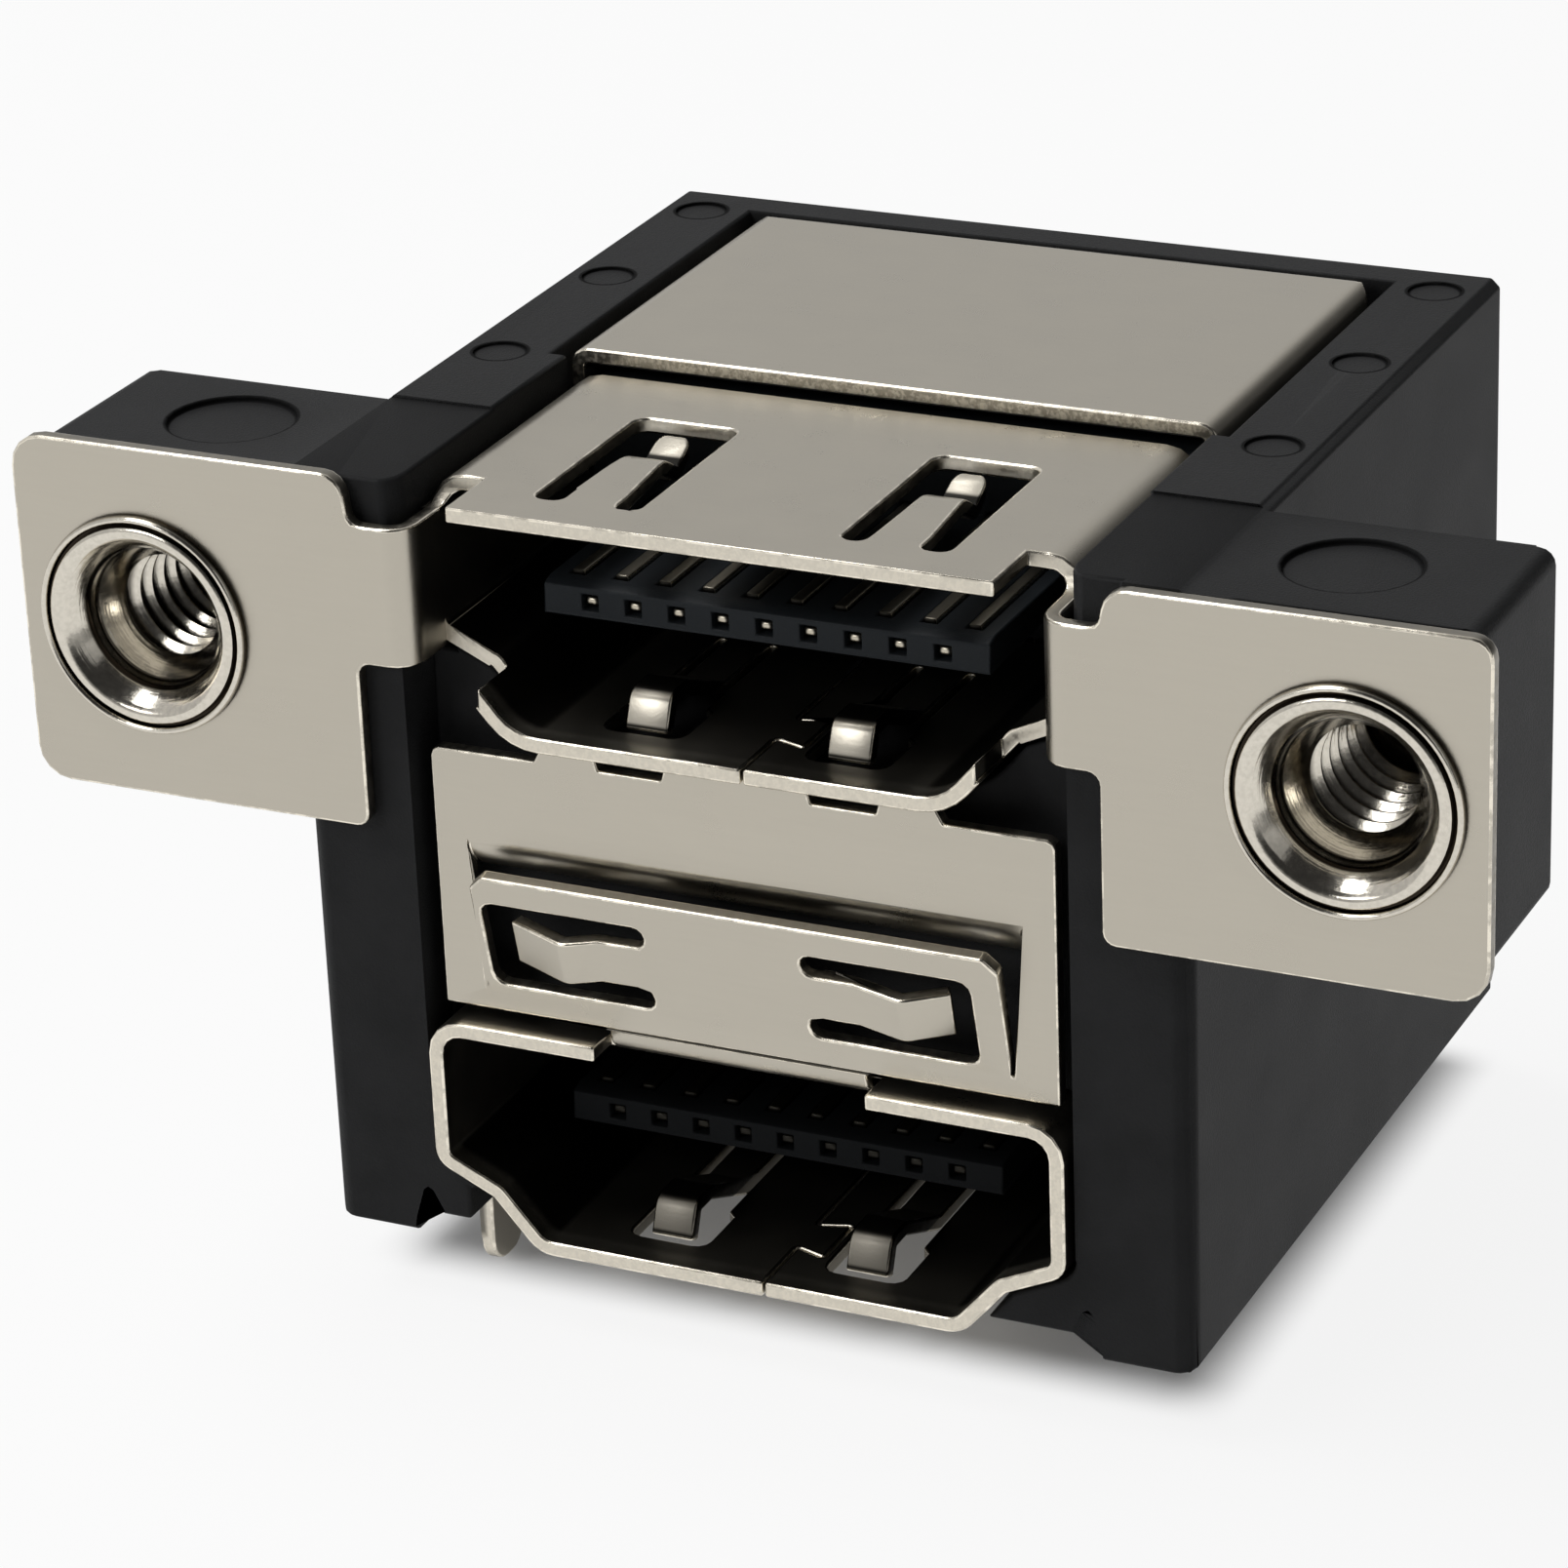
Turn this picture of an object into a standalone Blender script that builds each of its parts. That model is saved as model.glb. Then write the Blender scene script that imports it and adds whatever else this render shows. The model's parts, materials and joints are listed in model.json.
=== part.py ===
"""Two-port stacked HDMI socket with screw flanges, for through-hole mounting on a board.

X runs across the socket, Y from the front to the rear, Z up. Sizes are first laid out from the
flange front (Y = 0) and the board seat (Z = 0); an empty then moves the whole socket, so that
the origin lies at the bottom centre of its box.
"""
import math

import bmesh
import bpy
from mathutils import Matrix

MM = 0.001

# Sheet metal of the shells
SHEET = 0.35 * MM
BEND_RADIUS = 0.45 * MM
FOLD_STEPS = 4
# Sheet joined to sheet lies this far below the surface, so that the two make one body
BURIED = 0.01 * MM

# Port opening, and the outline of the tube around it
OPENING_WIDTH = 14.0 * MM
OPENING_HEIGHT = 4.55 * MM
TUBE_TOP_RADIUS = 0.8 * MM
SHOULDER_SIDE_HEIGHT = 1.75 * MM
SHOULDER_END_HEIGHT = 1.15 * MM
SHOULDER_HALF_WIDTH = 6.05 * MM
FLOOR_HALF_WIDTH = 5.05 * MM
UPPER_FLOOR_RADIUS = 1.3 * MM
LOWER_FLOOR_RADIUS = 0.6 * MM
TUBE_FRONT = 0.12 * MM
TUBE_REAR = 8.4 * MM
LOWER_TUBE_BOTTOM = 0.12 * MM
PORT_PITCH = 11.88 * MM
SEAM_PLACE = 0.4 * MM
SEAM_GAP = 0.06 * MM
SEAM_LOCK_START = 1.6 * MM
SEAM_LOCK_DEPTH = 1.3 * MM
SEAM_LOCK_REACH = 0.75 * MM
SEAM_LOCK_FLARE = 0.25 * MM

# Relief notches at the front corners of the upper tube
TOP_NOTCH_HALF_WIDTH = 6.1 * MM
TOP_NOTCH_DEPTH = 1.9 * MM
LOWER_NOTCH_HALF_WIDTH = 5.6 * MM
LOWER_NOTCH_DEPTH = 1.5 * MM
LOWER_NOTCH_RISE = 0.85 * MM
TOP_NOTCH_ROUNDING = 0.35 * MM

# Screw flanges, folded out of the side walls of the upper tube
FLANGE_SET_OUT = 0.97 * MM
FLANGE_REACH = 2.97 * MM
FLANGE_DROP = 3.95 * MM
LEFT_FLANGE_RISE = 3.98 * MM
RIGHT_FLANGE_RISE = 3.77 * MM
FLANGE_CORNER = 0.75 * MM
RIGHT_FLANGE_CORNER = 0.45 * MM
STRIP_DROP = 0.2 * MM
STRIP_RISE = 2.9 * MM
STRIP_FILLET = 0.55 * MM
SCREW_HALF_SPACING = 13.45 * MM
SCREW_OVER_FLOOR = 1.7 * MM

# Threaded inserts
INSERT_BODY_RADIUS = 2.3 * MM
INSERT_RIM_OVER = 0.18 * MM
INSERT_RIM_PROUD = 0.2 * MM
INSERT_FUNNEL_UNDER = 0.1 * MM
INSERT_FUNNEL_DEPTH = 0.75 * MM
INSERT_WALL = 1.02 * MM
INSERT_NECK_UNDER = 0.3 * MM
INSERT_END_UNDER = 0.4 * MM
INSERT_GROOVE_DEPTH = 0.3 * MM
INSERT_GROOVE_WIDTH = 0.6 * MM
INSERT_SIDES = 32

# Spring fingers of the tubes
ROOF_WINDOW_INNER = 2.25 * MM
ROOF_WINDOW_OUTER = 4.65 * MM
ROOF_FINGER_INNER = 2.8 * MM
ROOF_FINGER_OUTER = 4.0 * MM
ROOF_TIP_LEFT_TRIM = 0.08 * MM
ROOF_TIP_RIGHT_TRIM = 0.36 * MM
ROOF_WINDOW_FRONT = 1.25 * MM
ROOF_SLOT_ROUNDING = 0.26 * MM
ROOF_WINDOW_REAR = 6.25 * MM
ROOF_FINGER_TIP = 5.8 * MM
ROOF_FINGER_BEND = 4.1 * MM
ROOF_FINGER_LOW = 4.9 * MM
ROOF_FINGER_DIP = 0.45 * MM
FLOOR_WINDOW_CENTRES = (-2.35 * MM, 2.25 * MM)
FLOOR_WINDOW_WIDTH = 1.8 * MM
FLOOR_SLOT_WIDTH = 0.2 * MM
FLOOR_WINDOW_STEP = 2.6 * MM
FLOOR_FINGER_WIDTH = 1.0 * MM
FLOOR_WINDOW_FRONT = 1.1 * MM
FLOOR_WINDOW_REAR = 6.4 * MM
FLOOR_FINGER_RISE = 0.75 * MM
FLOOR_FINGER_SET_BACK = 0.4 * MM
FLOOR_FINGER_FACE = 0.3 * MM
FLOOR_FINGER_LIFT = 4.2 * MM
WINDOW_CORNER = 0.3 * MM

# Plate between the ports, folded up from the roof of the lower tube
PLATE_FRONT = 0.62 * MM
PLATE_INSET = 0.25 * MM
PLATE_BOTTOM = 5.6 * MM
PLATE_SHOULDER_GAP = 0.42 * MM
PLATE_STEP_HALF_WIDTH = 4.45 * MM
PLATE_NOTCH_INNER = 1.6 * MM
PLATE_NOTCH_OUTER = 3.25 * MM
PLATE_TONGUE_LEFT = -3.2 * MM
PLATE_TONGUE_RIGHT = 2.75 * MM
PLATE_CORNER = 0.2 * MM
FOLD_SLIT = 0.15 * MM

# Sprung panel of the plate, hinged at its bottom edge
PANEL_FRAME = 1.07 * MM
PANEL_BOTTOM = 6.05 * MM
PANEL_HINGE = 0.08 * MM
PANEL_HEIGHT = 3.1 * MM
PANEL_LEAN = 0.72 * MM
PANEL_SIDE_GAP = 0.32 * MM
PANEL_SIDE_GAP_LOW = 0.04 * MM
PANEL_LIP_START = 9.58 * MM
PANEL_LIP_END = 8.9 * MM
PANEL_LIP_DEPTH = 0.45 * MM
PANEL_LIP_CURL = 0.3 * MM
PANEL_LIP_RADIUS = 0.65 * MM
PANEL_TRIM = 0.35 * MM
PANEL_WINDOW_LENGTH = 3.8 * MM
PANEL_WINDOW_HEIGHT = 2.15 * MM
PANEL_WINDOW_BASE = 0.22 * MM
PANEL_WINDOW_CENTRES = (-3.95 * MM, 3.45 * MM)
PANEL_FINGER_HEIGHT = 1.1 * MM
PANEL_FINGER_LENGTH = 2.85 * MM
PANEL_RIDGE_RISE = 0.28 * MM
PANEL_RIDGE_PLACES = (1.5 * MM, 1.95 * MM)
PANEL_SLOPE_START = 0.8 * MM
PANEL_TAIL_DROP = 0.2 * MM

# Solder legs, and the board seat
LEG_REACH = 1.5 * MM
LEFT_LEG_START = 1.9 * MM
RIGHT_LEG_START = 4.7 * MM
FRONT_LEG_WIDTH = 1.4 * MM
REAR_LEG_START = 14.2 * MM
REAR_LEG_WIDTH = 1.4 * MM

# Cap shield over the rear half
CAP_OVER_HOUSING = 0.07 * MM
CAP_OVER_TUBE = 0.2 * MM
CAP_FRONT = 8.78 * MM
CAP_REAR = 18.63 * MM
CAP_SKIRT = 2.6 * MM
CAP_CORNER = 0.9 * MM
CAP_EDGE_RADIUS = 0.45 * MM

# Moulded housing
HOUSING_WALL = 2.7 * MM
HOUSING_FRONT = 0.37 * MM
HOUSING_REAR = 19.7 * MM
HOUSING_OVER_TUBE = 0.32 * MM
HOUSING_FRONT_STEP = 0.07 * MM
HOUSING_EDGE = 0.2 * MM
HOUSING_MOUTH_ROUNDING = 0.7 * MM
HOUSING_CORNER_RADIUS = 0.5 * MM
RAIL_FIT = 0.3 * MM
CAVITY_FIT = 0.13 * MM
CAP_FIT = 0.12 * MM
CAVITY_FRONT = 8.5 * MM
EAR_SETBACK = 0.35 * MM
EAR_RAISE = 0.2 * MM
EAR_REAR = 5.0 * MM
EAR_TOP_SET = 0.12 * MM
EAR_ROUNDING = 0.35 * MM
FOOT_WIDTH = 2.03 * MM
FOOT_NOTCH_TOP = 1.1 * MM
FOOT_NOTCH_SET_IN = 0.3 * MM
APRON_BOTTOM = 0.5 * MM
APRON_SET_OUT = 0.05 * MM
APRON_RELIEF_START = 6.7 * MM
APRON_RELIEF_TOP = 1.3 * MM
EJECTOR_DEPTH = 0.12 * MM
EAR_EJECTOR_RADIUS = 1.4 * MM
EAR_EJECTOR_INSET = 0.85 * MM
EAR_EJECTOR_DEPTH_PLACE = 2.8 * MM
RAIL_EJECTOR_RADIUS = 0.6 * MM
RAIL_EJECTOR_PLACES = (8.2 * MM, 13.5 * MM, 18.4 * MM)
ROUND_SIDES = 24

# Contact carriers: a block with a tongue that reaches forward into its port
CARRIER_HALF_WIDTH = 7.05 * MM
CARRIER_FRONT = 8.6 * MM
TONGUE_FRONT = 2.3 * MM
TONGUE_HALF_WIDTH = 5.06 * MM
TONGUE_CENTRE_RISE = 2.57 * MM
TONGUE_THICKNESS = 0.86 * MM
TONGUE_NOSE_THICKNESS = 0.65 * MM
TONGUE_NOSE_LENGTH = 0.3 * MM
TONGUE_NOSE_CORNER = 0.2 * MM
POCKET_WIDTH = 0.38 * MM
POCKET_HEIGHT = 0.36 * MM

# Contacts
CONTACT_PITCH = 1.0 * MM
UPPER_ROW_COUNT = 10
LOWER_ROW_COUNT = 9
CONTACT_WIDTH = 0.3 * MM
CONTACT_THICKNESS = 0.18 * MM
CONTACT_PROUD = 0.06 * MM
CONTACT_BEND = 0.35 * MM
CONTACT_TAIL_REACH = 1.3 * MM
CONTACT_FRONT = 2.85 * MM
POCKET_CONTACT_FRONT = 2.42 * MM
POCKET_CONTACT_HOOK = 0.55 * MM
ROW_PITCH = 1.35 * MM
FIRST_ROW = 11.2 * MM

# Tail aligner
ALIGNER_BOTTOM = 0.3 * MM
ALIGNER_THICKNESS = 1.0 * MM
ALIGNER_MARGIN = 0.9 * MM

# Fits
TUBE_FIT = 0.12 * MM
SHEET_FIT = 0.05 * MM
CONTACT_FIT = 0.04 * MM
INSERT_FIT = 0.05 * MM
CARRIER_FIT = 0.15 * MM

# Values worked out from those above
TUBE_HALF_WIDTH = OPENING_WIDTH / 2 + SHEET
TUBE_HEIGHT = OPENING_HEIGHT + 2 * SHEET
UPPER_TUBE_BOTTOM = LOWER_TUBE_BOTTOM + PORT_PITCH
UPPER_TUBE_TOP = UPPER_TUBE_BOTTOM + TUBE_HEIGHT
LOWER_TUBE_TOP = LOWER_TUBE_BOTTOM + TUBE_HEIGHT
SCREW_HEIGHT = UPPER_TUBE_BOTTOM + SCREW_OVER_FLOOR
FLANGE_INNER = TUBE_HALF_WIDTH + FLANGE_SET_OUT
FLANGE_OUTER = SCREW_HALF_SPACING + FLANGE_REACH
FLANGE_BOTTOM = SCREW_HEIGHT - FLANGE_DROP
STRIP_BOTTOM = SCREW_HEIGHT - STRIP_DROP
STRIP_TOP = SCREW_HEIGHT + STRIP_RISE
HOUSING_HALF_WIDTH = TUBE_HALF_WIDTH + HOUSING_WALL
HOUSING_TOP = UPPER_TUBE_TOP + HOUSING_OVER_TUBE
FOOT_HALF_INNER = HOUSING_HALF_WIDTH - FOOT_WIDTH
FOOT_NOTCH_HALF_WIDTH = FOOT_HALF_INNER - FOOT_NOTCH_SET_IN
APRON_HALF_WIDTH = TUBE_HALF_WIDTH + APRON_SET_OUT
PLATE_HALF_WIDTH = TUBE_HALF_WIDTH - PLATE_INSET
PANEL_HALF_WIDTH = PLATE_HALF_WIDTH - PANEL_FRAME
INSERT_RIM_RADIUS = INSERT_BODY_RADIUS + INSERT_RIM_OVER
INSERT_FUNNEL_RADIUS = INSERT_BODY_RADIUS - INSERT_FUNNEL_UNDER
INSERT_BORE_RADIUS = INSERT_BODY_RADIUS - INSERT_WALL
INSERT_NECK_RADIUS = INSERT_BODY_RADIUS - INSERT_NECK_UNDER
INSERT_END_RADIUS = INSERT_BODY_RADIUS - INSERT_END_UNDER
HOUSING_FRONT_TOP = HOUSING_TOP - HOUSING_FRONT_STEP
EAR_OUTER = FLANGE_OUTER - EAR_SETBACK
EAR_BOTTOM = FLANGE_BOTTOM + EAR_RAISE
EAR_TOP = HOUSING_TOP - EAR_TOP_SET
CAP_TOP = HOUSING_TOP + CAP_OVER_HOUSING
CAP_HALF_WIDTH = TUBE_HALF_WIDTH + CAP_OVER_TUBE
CAVITY_HALF_WIDTH = CAP_HALF_WIDTH + CAVITY_FIT
RAIL_INNER = CAP_HALF_WIDTH + RAIL_FIT
CAVITY_REAR = CAP_REAR + CAP_FIT
PANEL_ANGLE = math.asin(PANEL_LEAN / PANEL_HEIGHT)
CENTRE_DEPTH = (HOUSING_REAR - INSERT_RIM_PROUD) / 2

SOCKET = "hdmi_socket"
CUTTERS = "cutters"
ORIGIN = "socket_origin"

# How an outline's own plane lies: its X, its Y and its thickness, as world axes
FRONT_VIEW = Matrix(((1, 0, 0, 0), (0, 0, -1, 0), (0, 1, 0, 0), (0, 0, 0, 1)))
SIDE_VIEW = Matrix(((0, 0, 1, 0), (1, 0, 0, 0), (0, 1, 0, 0), (0, 0, 0, 1)))
PLAN_VIEW = Matrix.Identity(4)


def clear_scene():
    for item in list(bpy.data.objects):
        bpy.data.objects.remove(item, do_unlink=True)
    for name in (SOCKET, CUTTERS):
        group = bpy.data.collections.new(name)
        bpy.context.scene.collection.children.link(group)
    origin = bpy.data.objects.new(ORIGIN, None)
    origin.location = (0.0, -CENTRE_DEPTH, LEG_REACH)
    bpy.data.collections[SOCKET].objects.link(origin)


def make_material(name, colour, roughness, metallic):
    material = bpy.data.materials.new(name)
    material.use_nodes = True
    shader = material.node_tree.nodes["Principled BSDF"]
    shader.inputs["Base Color"].default_value = (*colour, 1.0)
    shader.inputs["Roughness"].default_value = roughness
    shader.inputs["Metallic"].default_value = metallic
    material.diffuse_color = (*colour, 1.0)
    return material


# Outlines

def arc_points(centre, radius, first, last, steps):
    return [
        (
            centre[0] + radius * math.cos(first + (last - first) * i / steps),
            centre[1] + radius * math.sin(first + (last - first) * i / steps),
        )
        for i in range(steps + 1)
    ]


def circle(centre, radius, sides=ROUND_SIDES):
    return arc_points(centre, radius, 0.0, 2 * math.pi, sides)[:-1]


def corner_offsets(before, corner, after, radius, offsets, steps):
    """Points of a rounded corner on lines that lie at the given offsets to the left of the path."""
    first = math.atan2(corner[1] - before[1], corner[0] - before[0])
    second = math.atan2(after[1] - corner[1], after[0] - corner[0])
    turn = (second - first + math.pi) % (2 * math.pi) - math.pi
    side = 1 if turn > 0 else -1
    reach = radius * math.tan(abs(turn) / 2)
    start = (corner[0] - reach * math.cos(first), corner[1] - reach * math.sin(first))
    centre = (start[0] - side * radius * math.sin(first), start[1] + side * radius * math.cos(first))
    lines = []
    for offset in offsets:
        own = radius - side * offset
        lines.append([
            (
                centre[0] + side * own * math.sin(first + turn * i / steps),
                centre[1] - side * own * math.cos(first + turn * i / steps),
            )
            for i in range(steps + 1)
        ])
    return lines


def end_offsets(here, other, offsets, outward):
    """Points beside the end of an open path, at the given offsets to its left."""
    angle = math.atan2(other[1] - here[1], other[0] - here[0])
    if outward:
        angle += math.pi
    return [[(here[0] - offset * math.sin(angle), here[1] + offset * math.cos(angle))] for offset in offsets]


def follow(corners, offsets, closed, steps=FOLD_STEPS):
    """Lines beside a path of (x, y, radius) corners, one line for each offset."""
    lines = [[] for _ in offsets]
    count = len(corners)
    for i, (x, y, radius) in enumerate(corners):
        if closed or 0 < i < count - 1:
            parts = corner_offsets(
                corners[i - 1], (x, y), corners[(i + 1) % count], radius, offsets, steps
            )
        elif i == 0:
            parts = end_offsets((x, y), corners[1], offsets, False)
        else:
            parts = end_offsets((x, y), corners[-2], offsets, True)
        for line, part in zip(lines, parts):
            line.extend(part)
    return lines


def rounded(corners, steps=FOLD_STEPS):
    """Closed outline through (x, y, radius) corners, each rounded by its own radius."""
    points = []
    for i, (x, y, radius) in enumerate(corners):
        if radius > 0:
            points += corner_offsets(
                corners[i - 1], (x, y), corners[(i + 1) % len(corners)], radius, (0.0,), steps
            )[0]
        else:
            points.append((x, y))
    return points


def strip(corners, thickness=SHEET, steps=FOLD_STEPS):
    """Closed outline of a sheet of the given thickness, folded along an open path."""
    left, right = follow(corners, (thickness / 2, -thickness / 2), False, steps)
    return left + right[::-1]


def mirrored(points):
    return [(-x, y) for x, y in points][::-1]


# Solids from outlines

def slab(name, outlines, view, start, end, group=CUTTERS):
    """Solid between two depths, with the outline as its face and any further outlines as holes."""
    curve = bpy.data.curves.new(name, "CURVE")
    curve.dimensions = "2D"
    curve.fill_mode = "BOTH"
    curve.extrude = (end - start) / 2
    for points in outlines:
        spline = curve.splines.new("POLY")
        spline.points.add(len(points) - 1)
        for point, (x, y) in zip(spline.points, points):
            point.co = (x, y, 0.0, 1.0)
        spline.use_cyclic_u = True
    drawn = bpy.data.objects.new(name, curve)
    bpy.data.collections[CUTTERS].objects.link(drawn)
    graph = bpy.context.evaluated_depsgraph_get()
    mesh = bpy.data.meshes.new_from_object(drawn.evaluated_get(graph))
    bpy.data.objects.remove(drawn, do_unlink=True)
    bpy.data.curves.remove(curve)
    depth = -(start + end) / 2 if view is FRONT_VIEW else (start + end) / 2
    mesh.transform(view @ Matrix.Translation((0.0, 0.0, depth)))
    return solid_from(name, [mesh], group)


def solid_from(name, meshes, group=CUTTERS):
    """One object that holds all the given closed meshes, welded and facing out."""
    work = bmesh.new()
    for mesh in meshes:
        work.from_mesh(mesh)
        bpy.data.meshes.remove(mesh)
    bmesh.ops.remove_doubles(work, verts=work.verts, dist=1e-7)
    bmesh.ops.recalc_face_normals(work, faces=work.faces)
    mesh = bpy.data.meshes.new(name)
    work.to_mesh(mesh)
    work.free()
    item = bpy.data.objects.new(name, mesh)
    item.parent = bpy.data.objects[ORIGIN]
    bpy.data.collections[group].objects.link(item)
    if group == CUTTERS:
        item.hide_render = True
        item.display_type = "WIRE"
    return item


def box(name, low, high, group=CUTTERS):
    return boxes(name, [(low, high)], group)


def boxes(name, spans, group=CUTTERS):
    """Separate boxes in one object, each from its low corner to its high corner."""
    meshes = []
    for low, high in spans:
        work = bmesh.new()
        size = [b - a for a, b in zip(low, high)]
        centre = [(a + b) / 2 for a, b in zip(low, high)]
        place = Matrix.Translation(centre) @ Matrix.Diagonal((*size, 1.0))
        bmesh.ops.create_cube(work, size=1.0, matrix=place)
        mesh = bpy.data.meshes.new(name)
        work.to_mesh(mesh)
        work.free()
        meshes.append(mesh)
    return solid_from(name, meshes, group)


def combine(item, other, operation):
    modifier = item.modifiers.new(f"{operation.lower()} {other.name}", "BOOLEAN")
    modifier.operation = operation
    modifier.object = other
    modifier.solver = "EXACT"


def cut(item, *others):
    for other in others:
        combine(item, other, "DIFFERENCE")


def join(item, *others):
    for other in others:
        combine(item, other, "UNION")


def mirror_copy(item, name):
    """A copy of a helper solid, with its own Booleans, on the other side of the middle plane."""
    graph = bpy.context.evaluated_depsgraph_get()
    mesh = bpy.data.meshes.new_from_object(item.evaluated_get(graph))
    mesh.transform(Matrix.Diagonal((-1.0, 1.0, 1.0, 1.0)))
    mesh.flip_normals()
    return solid_from(name, [mesh])


def both_sides(item):
    return item, mirror_copy(item, f"{item.name}_mirrored")


def finish(item, material):
    item.data.materials.clear()
    item.data.materials.append(material)
    item.parent = bpy.data.objects[ORIGIN]


# Port tube

def tube_path(bottom, floor_radius):
    """Middle line of the tube's wall, anticlockwise from the roof's right end."""
    half = SHEET / 2
    side = TUBE_HALF_WIDTH - half
    roof = bottom + TUBE_HEIGHT - half
    floor = bottom + half
    shoulder_side = bottom + SHOULDER_SIDE_HEIGHT + half
    shoulder_end = bottom + SHOULDER_END_HEIGHT + half
    top_radius = TUBE_TOP_RADIUS - half
    right = [
        (FLOOR_HALF_WIDTH - half, floor, floor_radius),
        (SHOULDER_HALF_WIDTH - half, shoulder_end, 0.4 * MM),
        (side, shoulder_side, 0.35 * MM),
        (side, roof, top_radius),
    ]
    return right + [(-x, y, r) for x, y, r in right[::-1]]


def tube_outlines(bottom, floor_radius, clearance=0.0):
    half = SHEET / 2
    outer, inner = follow(tube_path(bottom, floor_radius), (-half - clearance, half), True)
    return outer, inner


def seam_outline():
    """Butt seam of the folded tube, seen from above, with its dovetail lock."""
    x = SEAM_PLACE
    wide = SEAM_LOCK_DEPTH + SEAM_LOCK_FLARE
    narrow = SEAM_LOCK_START + SEAM_LOCK_FLARE
    corners = [
        (x, TUBE_FRONT - MM, 0.0),
        (x, narrow, 0.08 * MM),
        (x + SEAM_LOCK_REACH, SEAM_LOCK_START, 0.08 * MM),
        (x + SEAM_LOCK_REACH, SEAM_LOCK_START + wide, 0.08 * MM),
        (x, SEAM_LOCK_START + SEAM_LOCK_DEPTH, 0.08 * MM),
        (x, TUBE_REAR + MM, 0.0),
    ]
    return strip(corners, SEAM_GAP, 2)


def roof_window(name, roof):
    """U-shaped slot around a spring finger that is rooted at the front."""
    outline = [
        (ROOF_WINDOW_OUTER, ROOF_WINDOW_FRONT, ROOF_SLOT_ROUNDING),
        (ROOF_WINDOW_OUTER, ROOF_WINDOW_REAR, WINDOW_CORNER),
        (ROOF_WINDOW_INNER, ROOF_WINDOW_REAR, WINDOW_CORNER),
        (ROOF_WINDOW_INNER, ROOF_WINDOW_FRONT, ROOF_SLOT_ROUNDING),
        (ROOF_FINGER_INNER, ROOF_WINDOW_FRONT, ROOF_SLOT_ROUNDING - BURIED),
        (ROOF_FINGER_INNER, ROOF_WINDOW_FRONT + 2 * SHEET, 0.0),
        (ROOF_FINGER_OUTER, ROOF_WINDOW_FRONT + 2 * SHEET, 0.0),
        (ROOF_FINGER_OUTER, ROOF_WINDOW_FRONT, ROOF_SLOT_ROUNDING - BURIED),
    ]
    return slab(name, [rounded(outline)], PLAN_VIEW, roof - 2 * SHEET, roof + SHEET)


def sheet_strip(path):
    """Outline of a finger or fold that is joined to a sheet of the same thickness."""
    return strip(path, SHEET - 2 * BURIED, 3)


def roof_finger(name, roof, side):
    """Spring finger that dips from the roof into the port and turns up at its tip."""
    middle = roof - SHEET / 2
    dip = middle - ROOF_FINGER_DIP
    path = [
        (ROOF_WINDOW_FRONT + SHEET, middle, 0.0),
        (ROOF_FINGER_BEND, middle, 0.8 * MM),
        (ROOF_FINGER_LOW, dip, 0.3 * MM),
        (ROOF_FINGER_TIP, dip + ROOF_FINGER_DIP * 0.8, 0.0),
    ]
    reach = ROOF_FINGER_OUTER + MM
    finger = slab(name, [sheet_strip(path)], SIDE_VIEW, min(0.0, side * reach), max(0.0, side * reach))
    inner = ROOF_FINGER_INNER + BURIED
    outer = ROOF_FINGER_OUTER - BURIED
    root = ROOF_WINDOW_FRONT + 2 * SHEET
    trims = (ROOF_TIP_LEFT_TRIM, ROOF_TIP_RIGHT_TRIM)
    inner_trim, outer_trim = trims if side > 0 else trims[::-1]
    tip = (outer - inner - sum(trims)) * 0.47
    plan = rounded([
        (inner, 0.0, 0.0),
        (outer, 0.0, 0.0),
        (outer, root, 0.0),
        (outer - outer_trim, ROOF_FINGER_TIP, tip),
        (inner + inner_trim, ROOF_FINGER_TIP, tip),
        (inner, root, 0.0),
    ], 6)
    if side < 0:
        plan = mirrored(plan)
    combine(finger, slab(f"{name}_plan", [plan], PLAN_VIEW, dip - MM, roof + MM), "INTERSECT")
    return finger


def floor_window(name, floor, centre):
    """Window round a finger: wide in front of its crest, with a narrow slot along each side."""
    finger = FLOOR_FINGER_WIDTH / 2
    slot = finger + FLOOR_SLOT_WIDTH
    wide = FLOOR_WINDOW_WIDTH / 2
    slot_corner = FLOOR_SLOT_WIDTH * 0.4
    right = [
        (wide, FLOOR_WINDOW_FRONT, WINDOW_CORNER),
        (wide, FLOOR_WINDOW_STEP, slot_corner),
        (slot, FLOOR_WINDOW_STEP + wide - slot, slot_corner),
        (slot, FLOOR_WINDOW_REAR, slot_corner),
        (finger, FLOOR_WINDOW_REAR, slot_corner),
        (finger, FLOOR_WINDOW_REAR - 2 * SHEET, 0.0),
    ]
    outline = rounded(right + [(-x, y, r) for x, y, r in right[::-1]], 3)
    placed = [(centre + x, y) for x, y in outline]
    return slab(name, [placed], PLAN_VIEW, floor - SHEET, floor + 2 * SHEET)


def floor_finger(name, floor, centre):
    """Spring finger rooted at the rear of its window, with a raised crest near the front."""
    middle = floor + SHEET / 2
    crest = middle + FLOOR_FINGER_RISE
    front = FLOOR_WINDOW_FRONT + FLOOR_FINGER_SET_BACK
    path = [
        (FLOOR_WINDOW_REAR - SHEET, middle, 0.0),
        (FLOOR_FINGER_LIFT, middle, 0.5 * MM),
        (front + 0.95 * MM, crest, 0.3 * MM),
        (front + FLOOR_FINGER_FACE, crest, 0.2 * MM),
        (front, middle + 0.05 * MM, 0.0),
    ]
    half = FLOOR_FINGER_WIDTH / 2 - BURIED
    return slab(name, [sheet_strip(path)], SIDE_VIEW, centre - half, centre + half)


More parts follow.
